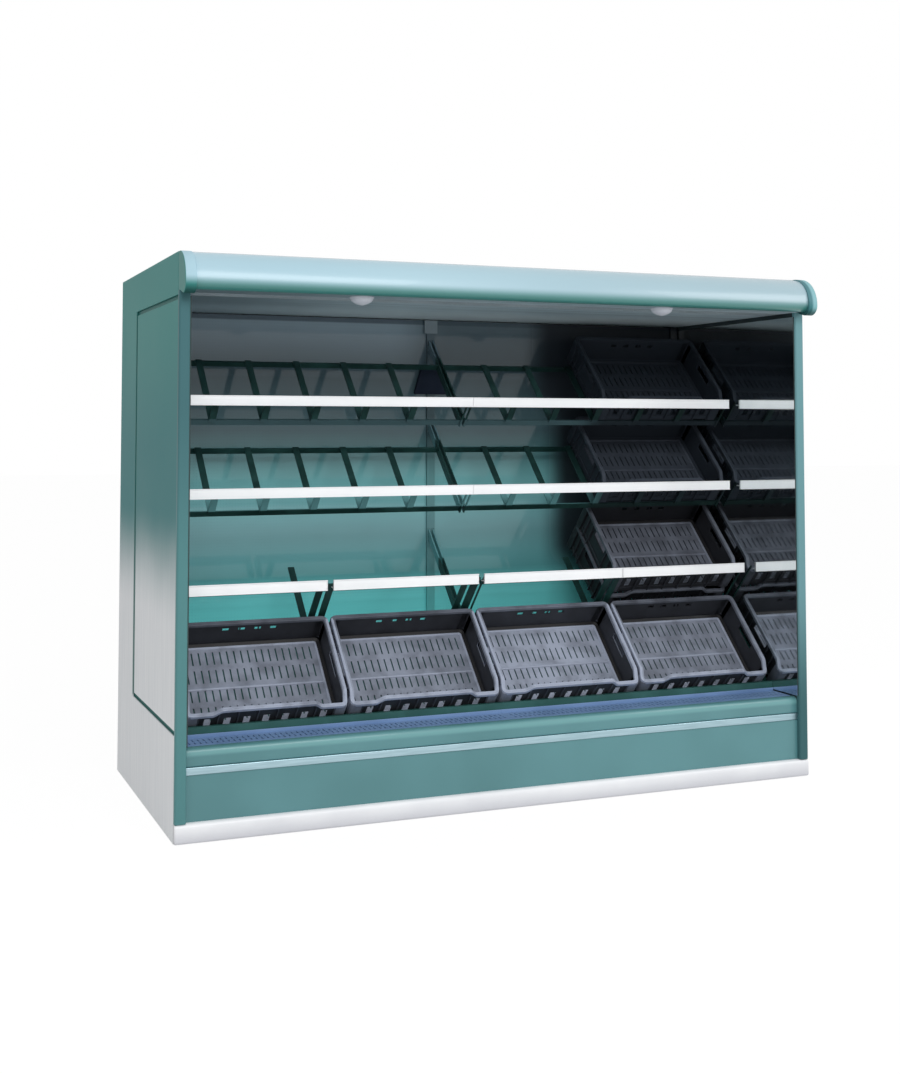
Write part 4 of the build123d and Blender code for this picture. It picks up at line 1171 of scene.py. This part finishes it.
# The dark cover also stands for painted shade and reflection between the top racks.
make_piece("upright_cover", gathered(cover), "rack_paint", finish="cover_moulding")
print("cover height:", round(COVER_HEAD - COVER_FOOT, 3))

# %% [markdown]
# ## Lamps, grilles and the air outlet
# Each lamp is a frosted bowl in a thin ring. The return grilles are plates with close rows of slots
# and an upturned rear edge. The air outlet is a honeycomb of thin strips, which makes the falling
# air run straight. A bowl is a stack of circles, and the others are sheets with openings.


# %% Lamp bowls
def bowl(middle, radius, depth, steps=28, ring=6 * MM):
    """Tapered bowl below a ring: its radius goes as cos t to the power 1.5, its drop as sin t."""
    circle = arc((0, 0), 1.0, 0, 360, steps + 1)[:-1]
    t = np.radians(np.linspace(0, 87, 12))
    radii = radius * np.concatenate([[0.98, 1.0, 1.0, 0.94], 0.94 * np.cos(t) ** 1.5])
    drops = np.concatenate([[0, 0, 5 * MM, ring], ring + (depth - ring) * np.sin(t)])
    points = np.zeros((len(radii), steps, 3))
    points[:, :, :2] = circle[None] * radii[:, None, None] + middle[:2]
    points[:, :, 2] = middle[2] - drops[:, None]
    return points.reshape(-1, 3), tube_faces(len(radii), steps)


for name in ("lamp_left", "lamp_right"):
    low, high = box_of(name)
    middle = ((low[0] + high[0]) / 2, (low[1] + high[1]) / 2, high[2])
    shell = gathered(bowl(middle, (high[0] - low[0]) / 2, 0.85 * (high[2] - low[2])))
    make_piece(f"{name}_bowl", shell, "lamp_lens", [name])
print("lamps: 2")


# %% Grilles and air outlet
def slotted_plate(low, high, slots, rows, face, through):
    """Level plate over a box with rows of slots, from the height of its face to its back."""
    half, middle = (high - low) / 2, (low + high) / 2
    columns = lines_with(even(*slots), [-half[0], half[0]])
    rows = lines_with(even(*rows), [-half[1], half[1]])
    return pierced(columns, rows, lambda x, y: (x + middle[0], y + middle[1], 0 * x + face),
                   (0, 0, through))


GRILLE_SLOTS, GRILLE_ROWS = (61, *mm(20, 5.5)), (2, *mm(42, 34))
COMB_CELLS, COMB_ROWS = (125, *mm(20, 18.8)), (6, *mm(17.5, 16.3))
for name in ("return_grille_left", "return_grille_right"):
    low, high = box_of(name)
    plate = slotted_plate(low, high, GRILLE_SLOTS, GRILLE_ROWS, high[2], low[2] - high[2])
    rear, foot = high[1], high[2] - 1 * MM
    flange_corners = oblong(rear - 3 * MM, rear, foot, foot + 14 * MM)
    flange = rounded(flange_corners, mm(0.5, 0.5, 1.2, 1.2), 4)
    plate = gathered(plate, straight(flange, low[0], high[0]))
    make_piece(f"{name}_slots", plate, "grille_plastic", [name], ease=0.8 * MM)

low, high = box_of("air_outlet")
comb = slotted_plate(low, high, COMB_CELLS, COMB_ROWS, low[2], high[2] - low[2])
make_piece("air_outlet_comb", comb, "outlet_plastic", ["air_outlet"])
print("grille slots:", GRILLE_SLOTS[0], "outlet cells:", COMB_CELLS[0])
